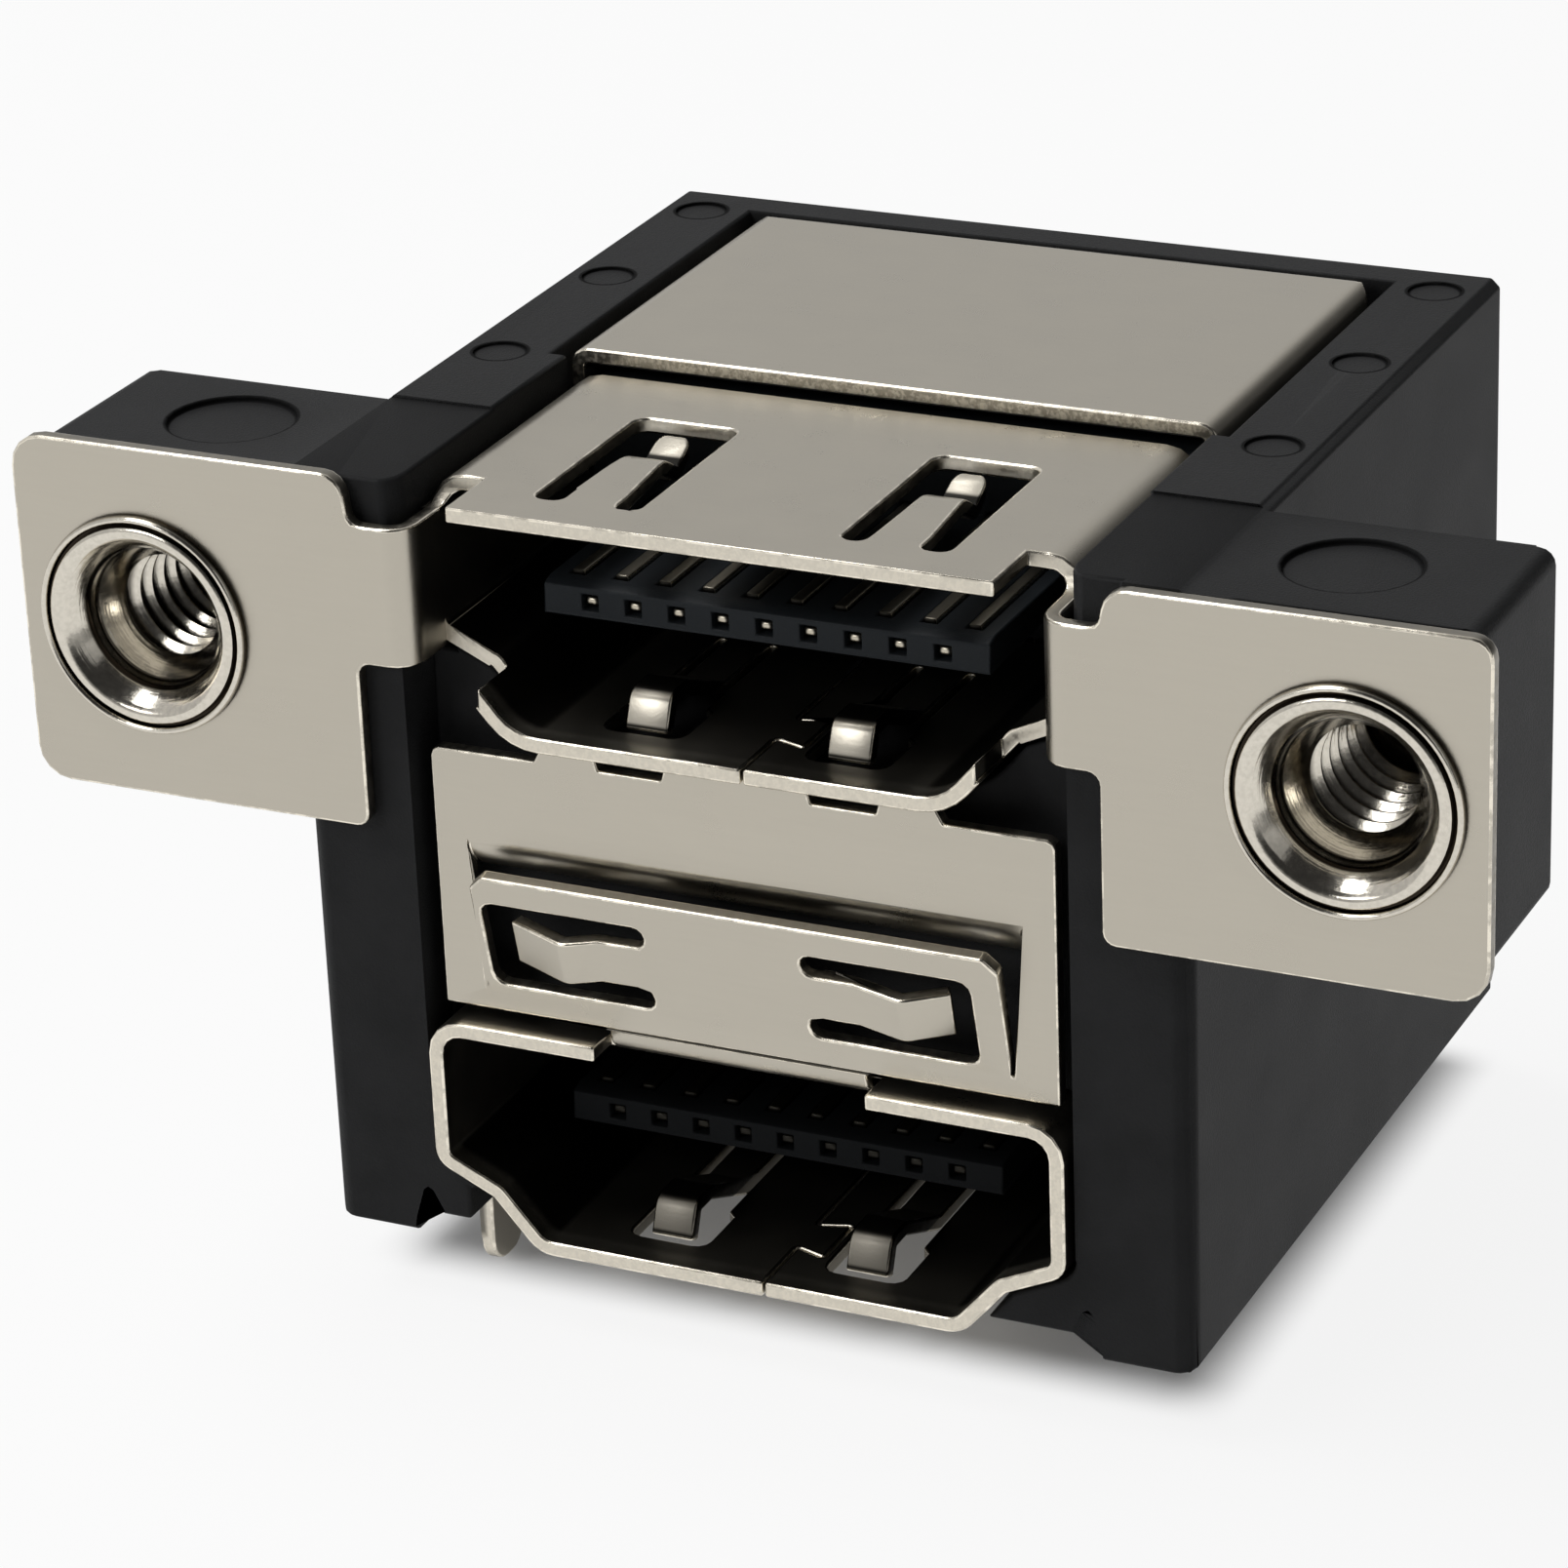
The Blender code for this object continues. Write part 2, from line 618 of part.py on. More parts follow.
def port_tube(name, bottom, floor_radius):
    """Folded tube of one port, with its seam and windows, and the fingers still to be joined."""
    outlines = list(tube_outlines(bottom, floor_radius))
    tube = slab(name, outlines, FRONT_VIEW, TUBE_FRONT, TUBE_REAR, SOCKET)
    roof = bottom + TUBE_HEIGHT
    windows = both_sides(roof_window(f"{name}_roof_window", roof))
    fingers = [
        roof_finger(f"{name}_{label}_roof_finger", roof, side)
        for label, side in (("left", -1), ("right", 1))
    ]
    floor_windows = [
        floor_window(f"{name}_floor_window_{i + 1}", bottom, centre)
        for i, centre in enumerate(FLOOR_WINDOW_CENTRES)
    ]
    floor_fingers = [
        floor_finger(f"{name}_floor_finger_{i + 1}", bottom, centre)
        for i, centre in enumerate(FLOOR_WINDOW_CENTRES)
    ]
    seam = slab(f"{name}_seam", [seam_outline()], PLAN_VIEW, bottom - SHEET, bottom + 2 * SHEET)
    cut(tube, *windows, *floor_windows, seam)
    return tube, [*fingers, *floor_fingers]


# Upper shell

def flange_outline(rise, corner):
    """Right flange plate with the root of its connecting strip, seen from the front."""
    root = FLANGE_INNER - 2 * STRIP_FILLET / 3
    top = SCREW_HEIGHT + rise
    return rounded([
        (root, STRIP_BOTTOM, 0.0),
        (FLANGE_INNER, STRIP_BOTTOM, STRIP_FILLET / 2),
        (FLANGE_INNER, FLANGE_BOTTOM, 0.3 * MM),
        (FLANGE_OUTER, FLANGE_BOTTOM, FLANGE_CORNER),
        (FLANGE_OUTER, top, corner),
        (FLANGE_INNER + 0.15 * MM, top, STRIP_FILLET),
        (FLANGE_INNER, STRIP_TOP, STRIP_FILLET / 2),
        (root, STRIP_TOP, 0.0),
    ])


def upper_shell(material):
    bottom = UPPER_TUBE_BOTTOM
    shell, fingers = port_tube("upper_shell", bottom, UPPER_FLOOR_RADIUS)
    far = TUBE_HALF_WIDTH + MM
    front = TUBE_FRONT - MM
    top_notch_outline = rounded([
        (front, STRIP_TOP, 0.0),
        (TOP_NOTCH_DEPTH, STRIP_TOP, TOP_NOTCH_ROUNDING),
        (TOP_NOTCH_DEPTH, UPPER_TUBE_TOP + MM, 0.0),
        (front, UPPER_TUBE_TOP + MM, 0.0),
    ])
    top_notch = slab("top_notch", [top_notch_outline], SIDE_VIEW, TOP_NOTCH_HALF_WIDTH, far)
    side_notch = box(
        "side_notch",
        (LOWER_NOTCH_HALF_WIDTH, front, bottom + LOWER_NOTCH_RISE),
        (far, LOWER_NOTCH_DEPTH, STRIP_TOP + BURIED),
    )
    wall = TUBE_HALF_WIDTH - SHEET / 2
    bend_path = [
        (wall, TOP_NOTCH_DEPTH + SHEET, 0.0),
        (wall, SHEET / 2, BEND_RADIUS),
        (FLANGE_INNER + SHEET, SHEET / 2, 0.0),
    ]
    bend = slab("flange_bend", [strip(bend_path)], PLAN_VIEW, STRIP_BOTTOM, STRIP_TOP)
    hole = circle((SCREW_HALF_SPACING, SCREW_HEIGHT), INSERT_NECK_RADIUS + INSERT_FIT)
    right = [flange_outline(RIGHT_FLANGE_RISE, RIGHT_FLANGE_CORNER), hole]
    left = [mirrored(flange_outline(LEFT_FLANGE_RISE, FLANGE_CORNER)), mirrored(hole)]
    plates = [
        slab("right_flange", right, FRONT_VIEW, 0.0, SHEET),
        slab("left_flange", left, FRONT_VIEW, 0.0, SHEET),
    ]
    cut(shell, *both_sides(top_notch), *both_sides(side_notch))
    join(shell, *both_sides(bend), *plates, *fingers)
    finish(shell, material)


# Lower shell

def plate_outline():
    """Plate between the ports, with the stepped top edge that tucks under the upper tube."""
    tuck = UPPER_TUBE_BOTTOM - SHEET_FIT
    low = UPPER_TUBE_BOTTOM - PLATE_SHOULDER_GAP
    right = [
        (PLATE_HALF_WIDTH, PLATE_BOTTOM, 0.05 * MM),
        (PLATE_HALF_WIDTH, low, PLATE_CORNER),
        (PLATE_STEP_HALF_WIDTH + 0.2 * MM, low, 0.05 * MM),
        (PLATE_STEP_HALF_WIDTH, tuck, 0.05 * MM),
        (PLATE_NOTCH_OUTER, tuck, 0.05 * MM),
        (PLATE_NOTCH_OUTER - 0.1 * MM, low, 0.05 * MM),
        (PLATE_NOTCH_INNER + 0.1 * MM, low, 0.05 * MM),
        (PLATE_NOTCH_INNER, tuck, 0.05 * MM),
    ]
    return rounded(right + [(-x, y, r) for x, y, r in right[::-1]], 2)


def panel_window_outline(centre, root_side):
    """C-shaped slot that leaves one finger, rooted at the given side of its window."""
    half = PANEL_WINDOW_LENGTH / 2
    low = PANEL_WINDOW_BASE
    high = low + PANEL_WINDOW_HEIGHT
    middle = (low + high) / 2
    finger_low = middle - PANEL_FINGER_HEIGHT / 2
    finger_high = middle + PANEL_FINGER_HEIGHT / 2
    rooted = half
    stub = half - 2 * SHEET
    corner = 0.24 * MM
    outline = [
        (-half, low, WINDOW_CORNER),
        (rooted, low, corner),
        (rooted, finger_low, corner),
        (stub, finger_low, 0.0),
        (stub, finger_high, 0.0),
        (rooted, finger_high, corner),
        (rooted, high, corner),
        (-half, high, WINDOW_CORNER),
    ]
    points = rounded(outline, 3)
    if root_side < 0:
        points = mirrored(points)
    return [(centre + x, y) for x, y in points]


def panel_finger_outline(centre, root_side, ridge):
    """Finger seen from above: flat at its root, raised to a ridge, and tucked in at its tail."""
    start = PANEL_WINDOW_LENGTH / 2 - SHEET
    middle = SHEET / 2
    path = [
        (start, middle, 0.0),
        (start - PANEL_SLOPE_START, middle, 0.25 * MM),
        (start - ridge, middle - PANEL_RIDGE_RISE, 0.2 * MM),
        (start - PANEL_FINGER_LENGTH, middle + PANEL_TAIL_DROP, 0.0),
    ]
    points = sheet_strip(path)
    if root_side < 0:
        points = mirrored(points)
    return [(centre + x, y) for x, y in points]


def tilted(item):
    """Leans a helper solid, drawn flat at the plate, forward about the panel's bottom edge."""
    hinge = Matrix.Translation((0.0, PLATE_FRONT, PANEL_BOTTOM))
    item.data.transform(hinge @ Matrix.Rotation(PANEL_ANGLE, 4, "X"))
    return item


def sprung_panel():
    """Panel of the plate that leans forward, with its windows and their two fingers."""
    middle = PLATE_FRONT + SHEET / 2
    top = PANEL_BOTTOM + PANEL_HEIGHT * math.cos(PANEL_ANGLE)
    path = [
        (middle, PANEL_BOTTOM - SHEET, 0.0),
        (middle, PANEL_BOTTOM, BEND_RADIUS),
        (middle - PANEL_LEAN, top, 0.0),
    ]
    panel = slab(
        "sprung_panel", [sheet_strip(path)], SIDE_VIEW, -PANEL_HALF_WIDTH, PANEL_HALF_WIDTH
    )
    corner = tilted(slab(
        "panel_corner",
        [[
            (PANEL_HALF_WIDTH + PANEL_TRIM, PANEL_HEIGHT - 2 * PANEL_TRIM),
            (PANEL_HALF_WIDTH + PANEL_TRIM, PANEL_HEIGHT + PANEL_TRIM),
            (PANEL_HALF_WIDTH - 2 * PANEL_TRIM, PANEL_HEIGHT + PANEL_TRIM),
        ]],
        FRONT_VIEW,
        -SHEET,
        2 * SHEET,
    ))
    cut(panel, *both_sides(corner))
    fingers = []
    places = zip(PANEL_WINDOW_CENTRES, (1, -1), PANEL_RIDGE_PLACES)
    for i, (centre, root_side, ridge) in enumerate(places):
        window = panel_window_outline(centre, root_side)
        cut(panel, tilted(slab(f"panel_window_{i + 1}", [window], FRONT_VIEW, -SHEET, 2 * SHEET)))
        height = PANEL_WINDOW_BASE + PANEL_WINDOW_HEIGHT / 2
        half = PANEL_FINGER_HEIGHT / 2 - BURIED
        outline = panel_finger_outline(centre, root_side, ridge)
        fingers.append(
            tilted(slab(f"panel_finger_{i + 1}", [outline], PLAN_VIEW, height - half, height + half))
        )
    return panel, fingers


def leg_outline(start, width, top):
    """Solder leg seen from the side, with a rounded end."""
    radius = width * 0.42
    return rounded([
        (start, -LEG_REACH, radius),
        (start + width, -LEG_REACH, radius),
        (start + width, top, 0.0),
        (start, top, 0.0),
    ], 5)


def front_leg_places():
    """Name, front edge and middle plane of each front leg: they are staggered."""
    wall = TUBE_HALF_WIDTH - SHEET / 2
    return ("left_leg", LEFT_LEG_START, -wall), ("right_leg", RIGHT_LEG_START, wall)


def lower_shell(material):
    bottom = LOWER_TUBE_BOTTOM
    shell, fingers = port_tube("lower_shell", bottom, LOWER_FLOOR_RADIUS)
    roof_middle = LOWER_TUBE_TOP - SHEET / 2
    mouth = box(
        "roof_mouth",
        (PLATE_TONGUE_LEFT - FOLD_SLIT, TUBE_FRONT - MM, LOWER_TUBE_TOP - 2 * SHEET),
        (PLATE_TONGUE_RIGHT + FOLD_SLIT, PLATE_FRONT + SHEET, LOWER_TUBE_TOP + MM),
    )
    plate_middle = PLATE_FRONT + SHEET / 2
    fold_path = [
        (ROOF_WINDOW_FRONT - BURIED, roof_middle, 0.0),
        (plate_middle, roof_middle, 0.3 * MM),
        (plate_middle, PLATE_BOTTOM + SHEET, 0.0),
    ]
    fold = slab("plate_fold", [sheet_strip(fold_path)], SIDE_VIEW, PLATE_TONGUE_LEFT, PLATE_TONGUE_RIGHT)
    plate = slab("middle_plate", [plate_outline()], FRONT_VIEW, PLATE_FRONT, PLATE_FRONT + SHEET)
    low_half = PANEL_HALF_WIDTH + PANEL_SIDE_GAP_LOW
    high_half = PANEL_HALF_WIDTH + PANEL_SIDE_GAP
    panel_hole = slab(
        "panel_hole",
        [[
            (-low_half, PANEL_BOTTOM + PANEL_HINGE),
            (low_half, PANEL_BOTTOM + PANEL_HINGE),
            (high_half, PANEL_LIP_START),
            (-high_half, PANEL_LIP_START),
        ]],
        FRONT_VIEW,
        PLATE_FRONT - SHEET,
        PLATE_FRONT + 2 * SHEET,
    )
    lip_path = [
        (plate_middle, PANEL_LIP_START + SHEET, 0.0),
        (plate_middle, PANEL_LIP_START - PANEL_LIP_CURL, PANEL_LIP_RADIUS),
        (plate_middle + PANEL_LIP_DEPTH, PANEL_LIP_END, 0.0),
    ]
    lip = slab(
        "plate_lip", [sheet_strip(lip_path)], SIDE_VIEW, BURIED - high_half, high_half - BURIED
    )
    panel, panel_fingers = sprung_panel()
    legs = [
        slab(
            name,
            [leg_outline(start, FRONT_LEG_WIDTH, bottom + TUBE_HEIGHT / 2)],
            SIDE_VIEW,
            wall - SHEET / 2 + BURIED,
            wall + SHEET / 2 - BURIED,
        )
        for name, start, wall in front_leg_places()
    ]
    cut(shell, mouth)
    cut(plate, panel_hole)
    join(shell, fold, plate, lip, panel, *panel_fingers, *legs, *fingers)
    finish(shell, material)


# Cap shield

def cap_form(name, inset, reach, group=CUTTERS):
    """Block with the cap's rounded edges, set in from it, and longer by the reach where it's open."""
    half = CAP_HALF_WIDTH - inset
    top = CAP_TOP - inset
    rear = CAP_REAR - inset
    front = CAP_FRONT - reach
    low = CAP_TOP - CAP_SKIRT - reach
    corner = CAP_CORNER - inset
    edge = CAP_EDGE_RADIUS - inset
    plan = rounded([
        (-half - BURIED, front, 0.0),
        (half + BURIED, front, 0.0),
        (half + BURIED, rear + BURIED, corner),
        (-half - BURIED, rear + BURIED, corner),
    ])
    across = rounded([
        (-half, low - MM, 0.0),
        (half, low - MM, 0.0),
        (half, top, edge),
        (-half, top, edge),
    ])
    along = rounded([
        (front - MM, low - MM, 0.0),
        (rear, low - MM, 0.0),
        (rear, top + BURIED, edge),
        (front - MM, top + BURIED, 0.0),
    ])
    form = slab(name, [plan], PLAN_VIEW, low, top + MM, group)
    combine(form, slab(f"{name}_across", [across], FRONT_VIEW, front - MM, rear + MM), "INTERSECT")
    combine(form, slab(f"{name}_along", [along], SIDE_VIEW, -half - MM, half + MM), "INTERSECT")
    return form


def cap_shield(material):
    cap = cap_form("cap_shield", 0.0, 0.0, SOCKET)
    cut(cap, cap_form("cap_inside", SHEET, MM))
    leg = slab(
        "rear_leg",
        [leg_outline(REAR_LEG_START, REAR_LEG_WIDTH, CAP_TOP - CAP_SKIRT + SHEET)],
        SIDE_VIEW,
        CAP_HALF_WIDTH - SHEET + BURIED,
        CAP_HALF_WIDTH - BURIED,
    )
    join(cap, *both_sides(leg))
    finish(cap, material)


# Housing

def tube_space(name, bottom, floor_radius):
    """Room for a tube: its outer form grown by its fit."""
    outer, _ = tube_outlines(bottom, floor_radius, TUBE_FIT)
    return slab(name, [outer], FRONT_VIEW, HOUSING_FRONT - MM, CAVITY_FRONT)


def housing_front_outline():
    """Front view of the housing's body, with its two feet and the apron beside the lower port."""
    edge = HOUSING_EDGE
    right = [
        (APRON_HALF_WIDTH, APRON_BOTTOM, 0.05 * MM),
        (FOOT_NOTCH_HALF_WIDTH, FOOT_NOTCH_TOP, 0.05 * MM),
        (FOOT_NOTCH_HALF_WIDTH + 0.25 * MM, 0.3 * MM, 0.05 * MM),
        (FOOT_HALF_INNER, 0.0, 0.05 * MM),
        (HOUSING_HALF_WIDTH, 0.0, 0.15 * MM),
        (HOUSING_HALF_WIDTH, HOUSING_TOP - edge, 0.1 * MM),
        (HOUSING_HALF_WIDTH - edge, HOUSING_TOP, 0.1 * MM),
    ]
    return rounded(right + [(-x, y, r) for x, y, r in right[::-1]], 2)


def ear_outline():
    return rounded([
        (HOUSING_HALF_WIDTH - MM, EAR_BOTTOM, 0.0),
        (EAR_OUTER, EAR_BOTTOM, 0.3 * MM),
        (EAR_OUTER, EAR_TOP, EAR_ROUNDING),
        (HOUSING_HALF_WIDTH - MM, EAR_TOP, 0.0),
    ])


def corner_cutter():
    """What rounds the vertical front edge of the right wall, below its ear."""
    radius = HOUSING_CORNER_RADIUS
    centre = (HOUSING_HALF_WIDTH - radius + BURIED, HOUSING_FRONT + radius - BURIED)
    arc = arc_points(centre, radius, 0.0, -math.pi / 2, FOLD_STEPS)
    outside = [
        (arc[-1][0], HOUSING_FRONT - MM),
        (HOUSING_HALF_WIDTH + MM, HOUSING_FRONT - MM),
        (HOUSING_HALF_WIDTH + MM, arc[0][1]),
    ]
    return slab("front_corner", [arc + outside], PLAN_VIEW, -MM, EAR_BOTTOM + BURIED)


def housing(material):
    body = slab(
        "housing", [housing_front_outline()], FRONT_VIEW, HOUSING_FRONT, HOUSING_REAR, SOCKET
    )
    ear = slab("ear", [ear_outline()], FRONT_VIEW, HOUSING_FRONT + BURIED, EAR_REAR - BURIED)
    before = HOUSING_FRONT - MM
    above = HOUSING_TOP + MM
    below = -MM
    clear = TUBE_HALF_WIDTH + TUBE_FIT
    front_step = box(
        "front_step",
        (-HOUSING_HALF_WIDTH - MM, before, HOUSING_FRONT_TOP),
        (HOUSING_HALF_WIDTH + MM, EAR_REAR, above),
    )
    upper_room = tube_space("upper_room", UPPER_TUBE_BOTTOM, UPPER_FLOOR_RADIUS)
    mouth = HOUSING_FRONT - BURIED
    opening = [
        (clear + MM, before, 0.0),
        (clear + MM, mouth, 0.0),
        (clear, mouth, HOUSING_MOUTH_ROUNDING),
        (clear, CAVITY_FRONT + MM, 0.0),
    ]
    upper_roof = slab(
        "upper_roof",
        [rounded(opening + [(-x, y, r) for x, y, r in opening[::-1]])],
        PLAN_VIEW,
        UPPER_TUBE_BOTTOM + TUBE_HEIGHT / 2,
        above,
    )
    lower_room = tube_space("lower_room", LOWER_TUBE_BOTTOM, LOWER_FLOOR_RADIUS)
    plate_room = box(
        "plate_room",
        (-clear, before, LOWER_TUBE_TOP - TUBE_TOP_RADIUS - TUBE_FIT),
        (clear, PLATE_FRONT + 3 * SHEET, UPPER_TUBE_BOTTOM + SHOULDER_SIDE_HEIGHT),
    )
    cavity = box(
        "cavity",
        (-CAVITY_HALF_WIDTH, CAVITY_FRONT - BURIED, below),
        (CAVITY_HALF_WIDTH, CAVITY_REAR, above),
    )
    rail_room = box(
        "rail_room",
        (-RAIL_INNER, CAVITY_FRONT - 2 * BURIED, HOUSING_TOP - CAP_SKIRT),
        (RAIL_INNER, CAVITY_REAR + BURIED, above),
    )
    leg_rooms = boxes("leg_rooms", [
        (
            (wall - SHEET / 2 - TUBE_FIT, start - TUBE_FIT, below),
            (wall + SHEET / 2 + TUBE_FIT, start + FRONT_LEG_WIDTH + TUBE_FIT, LOWER_TUBE_BOTTOM + 3 * MM),
        )
        for _, start, wall in front_leg_places()
    ])
    insert_room = slab(
        "insert_room",
        [circle((SCREW_HALF_SPACING, SCREW_HEIGHT), INSERT_BODY_RADIUS + INSERT_FIT, INSERT_SIDES)],
        FRONT_VIEW,
        before,
        EAR_REAR + MM,
    )
    flange_room = slab(
        "flange_room",
        [strip([
            (TUBE_HALF_WIDTH - SHEET / 2, TOP_NOTCH_DEPTH + MM, 0.0),
            (TUBE_HALF_WIDTH - SHEET / 2, SHEET / 2, BEND_RADIUS),
            (FLANGE_INNER + SHEET, SHEET / 2, 0.0),
        ], SHEET + 2 * TUBE_FIT)],
        PLAN_VIEW,
        STRIP_BOTTOM - TUBE_FIT,
        HOUSING_TOP + MM,
    )
    ear_place = (SCREW_HALF_SPACING - EAR_EJECTOR_INSET, EAR_EJECTOR_DEPTH_PLACE)
    ear_mark = slab(
        "ear_mark",
        [circle(ear_place, EAR_EJECTOR_RADIUS)],
        PLAN_VIEW,
        EAR_TOP - EJECTOR_DEPTH,
        above,
    )
    rail_marks = [
        slab(
            f"rail_mark_{i + 1}",
            [circle(((RAIL_INNER + HOUSING_HALF_WIDTH) / 2, place), RAIL_EJECTOR_RADIUS)],
            PLAN_VIEW,
            HOUSING_TOP - EJECTOR_DEPTH / 2,
            above,
        )
        for i, place in enumerate(RAIL_EJECTOR_PLACES)
    ]
    cut(body, front_step)
    join(body, *both_sides(ear))
    cut(body, upper_room, upper_roof, lower_room, plate_room, cavity, rail_room)
    apron_relief = box(
        "apron_relief",
        (-APRON_RELIEF_START, before, below),
        (-FLOOR_HALF_WIDTH, LEFT_LEG_START + FRONT_LEG_WIDTH + TUBE_FIT, APRON_RELIEF_TOP),
    )
    cut(body, leg_rooms, apron_relief)
    for helper in (insert_room, flange_room, ear_mark, corner_cutter(), *rail_marks):
        cut(body, *both_sides(helper))
    finish(body, material)


# Threaded inserts

def insert_profile():
    """Half section of an insert as (radius, distance behind the flange front)."""
    rear = EAR_REAR
    waist = (SHEET + rear) / 2
    groove = INSERT_GROOVE_WIDTH / 2
    return [
        (INSERT_BORE_RADIUS, rear),
        (INSERT_END_RADIUS, rear),
        (INSERT_BODY_RADIUS, rear - INSERT_GROOVE_DEPTH),
        (INSERT_BODY_RADIUS, waist + groove),
        (INSERT_BODY_RADIUS - INSERT_GROOVE_DEPTH, waist + groove),
        (INSERT_BODY_RADIUS - INSERT_GROOVE_DEPTH, waist - groove),
        (INSERT_BODY_RADIUS, waist - groove),
        (INSERT_BODY_RADIUS, SHEET + SHEET_FIT),
        (INSERT_NECK_RADIUS, SHEET + SHEET_FIT),
        (INSERT_NECK_RADIUS, -SHEET_FIT),
        (INSERT_RIM_RADIUS, -SHEET_FIT),
        (INSERT_RIM_RADIUS - 0.08 * MM, -INSERT_RIM_PROUD + 0.03 * MM),
        (INSERT_RIM_RADIUS - 0.16 * MM, -INSERT_RIM_PROUD),
        (INSERT_FUNNEL_RADIUS, -INSERT_RIM_PROUD + 0.02 * MM),
        (INSERT_FUNNEL_RADIUS - 0.3 * MM, INSERT_FUNNEL_DEPTH / 2),
        (INSERT_BORE_RADIUS + 0.15 * MM, INSERT_FUNNEL_DEPTH),
        (INSERT_BORE_RADIUS, INSERT_FUNNEL_DEPTH + 0.15 * MM),
    ]


def threaded_insert(name, side, material):
    profile = insert_profile()
    work = bmesh.new()
    ring = [work.verts.new((radius, 0.0, -depth)) for radius, depth in profile[::-1]]
    for i, vert in enumerate(ring):
        work.edges.new((vert, ring[(i + 1) % len(ring)]))
    mesh = bpy.data.meshes.new(name)
    work.to_mesh(mesh)
    work.free()
    item = bpy.data.objects.new(name, mesh)
    bpy.data.collections[SOCKET].objects.link(item)
    turn = item.modifiers.new("turned", "SCREW")
    turn.axis = "Z"
    turn.steps = INSERT_SIDES
    turn.render_steps = INSERT_SIDES
    turn.use_merge_vertices = True
    turn.merge_threshold = 1e-7
    item.rotation_euler = (math.radians(90), 0.0, 0.0)
    item.location = (side * SCREW_HALF_SPACING, 0.0, SCREW_HEIGHT)
    finish(item, material)


# Contact carriers

def row_places(count):
    return [(i - (count - 1) / 2) * CONTACT_PITCH for i in range(count)]


def row_heights(bottom):
    """Middle heights of the contacts on top of a tongue and under it."""
    centre = bottom + TONGUE_CENTRE_RISE
    reach = TONGUE_THICKNESS / 2 + CONTACT_PROUD - CONTACT_THICKNESS / 2
    return centre + reach, centre - reach


def carrier(name, bottom, rear, material):
    """Insulator with its tongue, the slots of both contact rows and the pockets in its nose."""
    centre = bottom + TONGUE_CENTRE_RISE
    half = TONGUE_THICKNESS / 2
    nose = TONGUE_NOSE_THICKNESS / 2
    reach = TONGUE_FRONT + TONGUE_NOSE_LENGTH
    side_outline = [
        (TONGUE_FRONT, centre - nose),
        (reach, centre - half),
        (CARRIER_FRONT + SHEET, centre - half),
        (CARRIER_FRONT + SHEET, centre + half),
        (reach, centre + half),
        (TONGUE_FRONT, centre + nose),
    ]
    block = box(
        name,
        (-CARRIER_HALF_WIDTH, CARRIER_FRONT, bottom + SHEET),
        (CARRIER_HALF_WIDTH, rear, bottom + TUBE_HEIGHT - SHEET),
        SOCKET,
    )
    tongue = slab(f"{name}_tongue", [side_outline], SIDE_VIEW, -TONGUE_HALF_WIDTH, TONGUE_HALF_WIDTH)
    corner = TONGUE_NOSE_CORNER
    trim = slab(
        f"{name}_trim",
        [[
            (TONGUE_HALF_WIDTH - corner, TONGUE_FRONT - corner),
            (TONGUE_HALF_WIDTH + corner, TONGUE_FRONT - corner),
            (TONGUE_HALF_WIDTH + corner, TONGUE_FRONT + corner),
        ]],
        PLAN_VIEW,
        centre - TONGUE_THICKNESS,
        centre + TONGUE_THICKNESS,
    )
    top, low = row_heights(bottom)
    slot = CONTACT_WIDTH / 2 + CONTACT_FIT
    depth = CONTACT_THICKNESS / 2 + CONTACT_FIT
    upper_slots = boxes(f"{name}_upper_slots", [
        ((x - slot, CONTACT_FRONT - 2 * CONTACT_FIT, top - depth), (x + slot, rear + MM, top + depth))
        for x in row_places(UPPER_ROW_COUNT)
    ])
    lower_slots = boxes(f"{name}_lower_slots", [
        ((x - slot, CONTACT_FRONT, low - depth), (x + slot, rear + MM, low + depth))
        for x in row_places(LOWER_ROW_COUNT)
    ])
    pocket = POCKET_WIDTH / 2
    rise = POCKET_HEIGHT / 2
    hook = POCKET_CONTACT_FRONT + POCKET_CONTACT_HOOK + 2 * CONTACT_THICKNESS
    pockets = boxes(f"{name}_pockets", [
        ((x - pocket, TONGUE_FRONT - MM, centre - rise), (x + pocket, hook, centre + rise))
        for x in row_places(LOWER_ROW_COUNT)
    ])
    risers = boxes(f"{name}_risers", [
        ((x - slot, CONTACT_FRONT, low - TONGUE_THICKNESS), (x + slot, hook + 0.45 * MM, centre))
        for x in row_places(LOWER_ROW_COUNT)
    ])
    cut(tongue, *both_sides(trim))
    join(block, tongue)
    cut(block, upper_slots, lower_slots, pockets, risers)
    finish(block, material)


# Contacts and their aligner

def contact_mesh(name, path):
    """Flat spring wire along a path in the side plane."""
    item = slab(
        name, [strip(path, CONTACT_THICKNESS, 3)], SIDE_VIEW, -CONTACT_WIDTH / 2, CONTACT_WIDTH / 2
    )
    mesh = item.data
    bpy.data.objects.remove(item, do_unlink=True)
    return mesh


def contact_row(label, path, count, material):
    mesh = contact_mesh(f"{label}_contact", path)
    for i, x in enumerate(row_places(count)):
        item = bpy.data.objects.new(f"{label}_contact_{i + 1:02d}", mesh)
        item.location = (x, 0.0, 0.0)
        bpy.data.collections[SOCKET].objects.link(item)
        finish(item, material)


def tongue_top_path(height, drop):
    return [
        (CONTACT_FRONT, height, 0.0),
        (drop, height, CONTACT_BEND),
        (drop, -CONTACT_TAIL_REACH, 0.0),
    ]


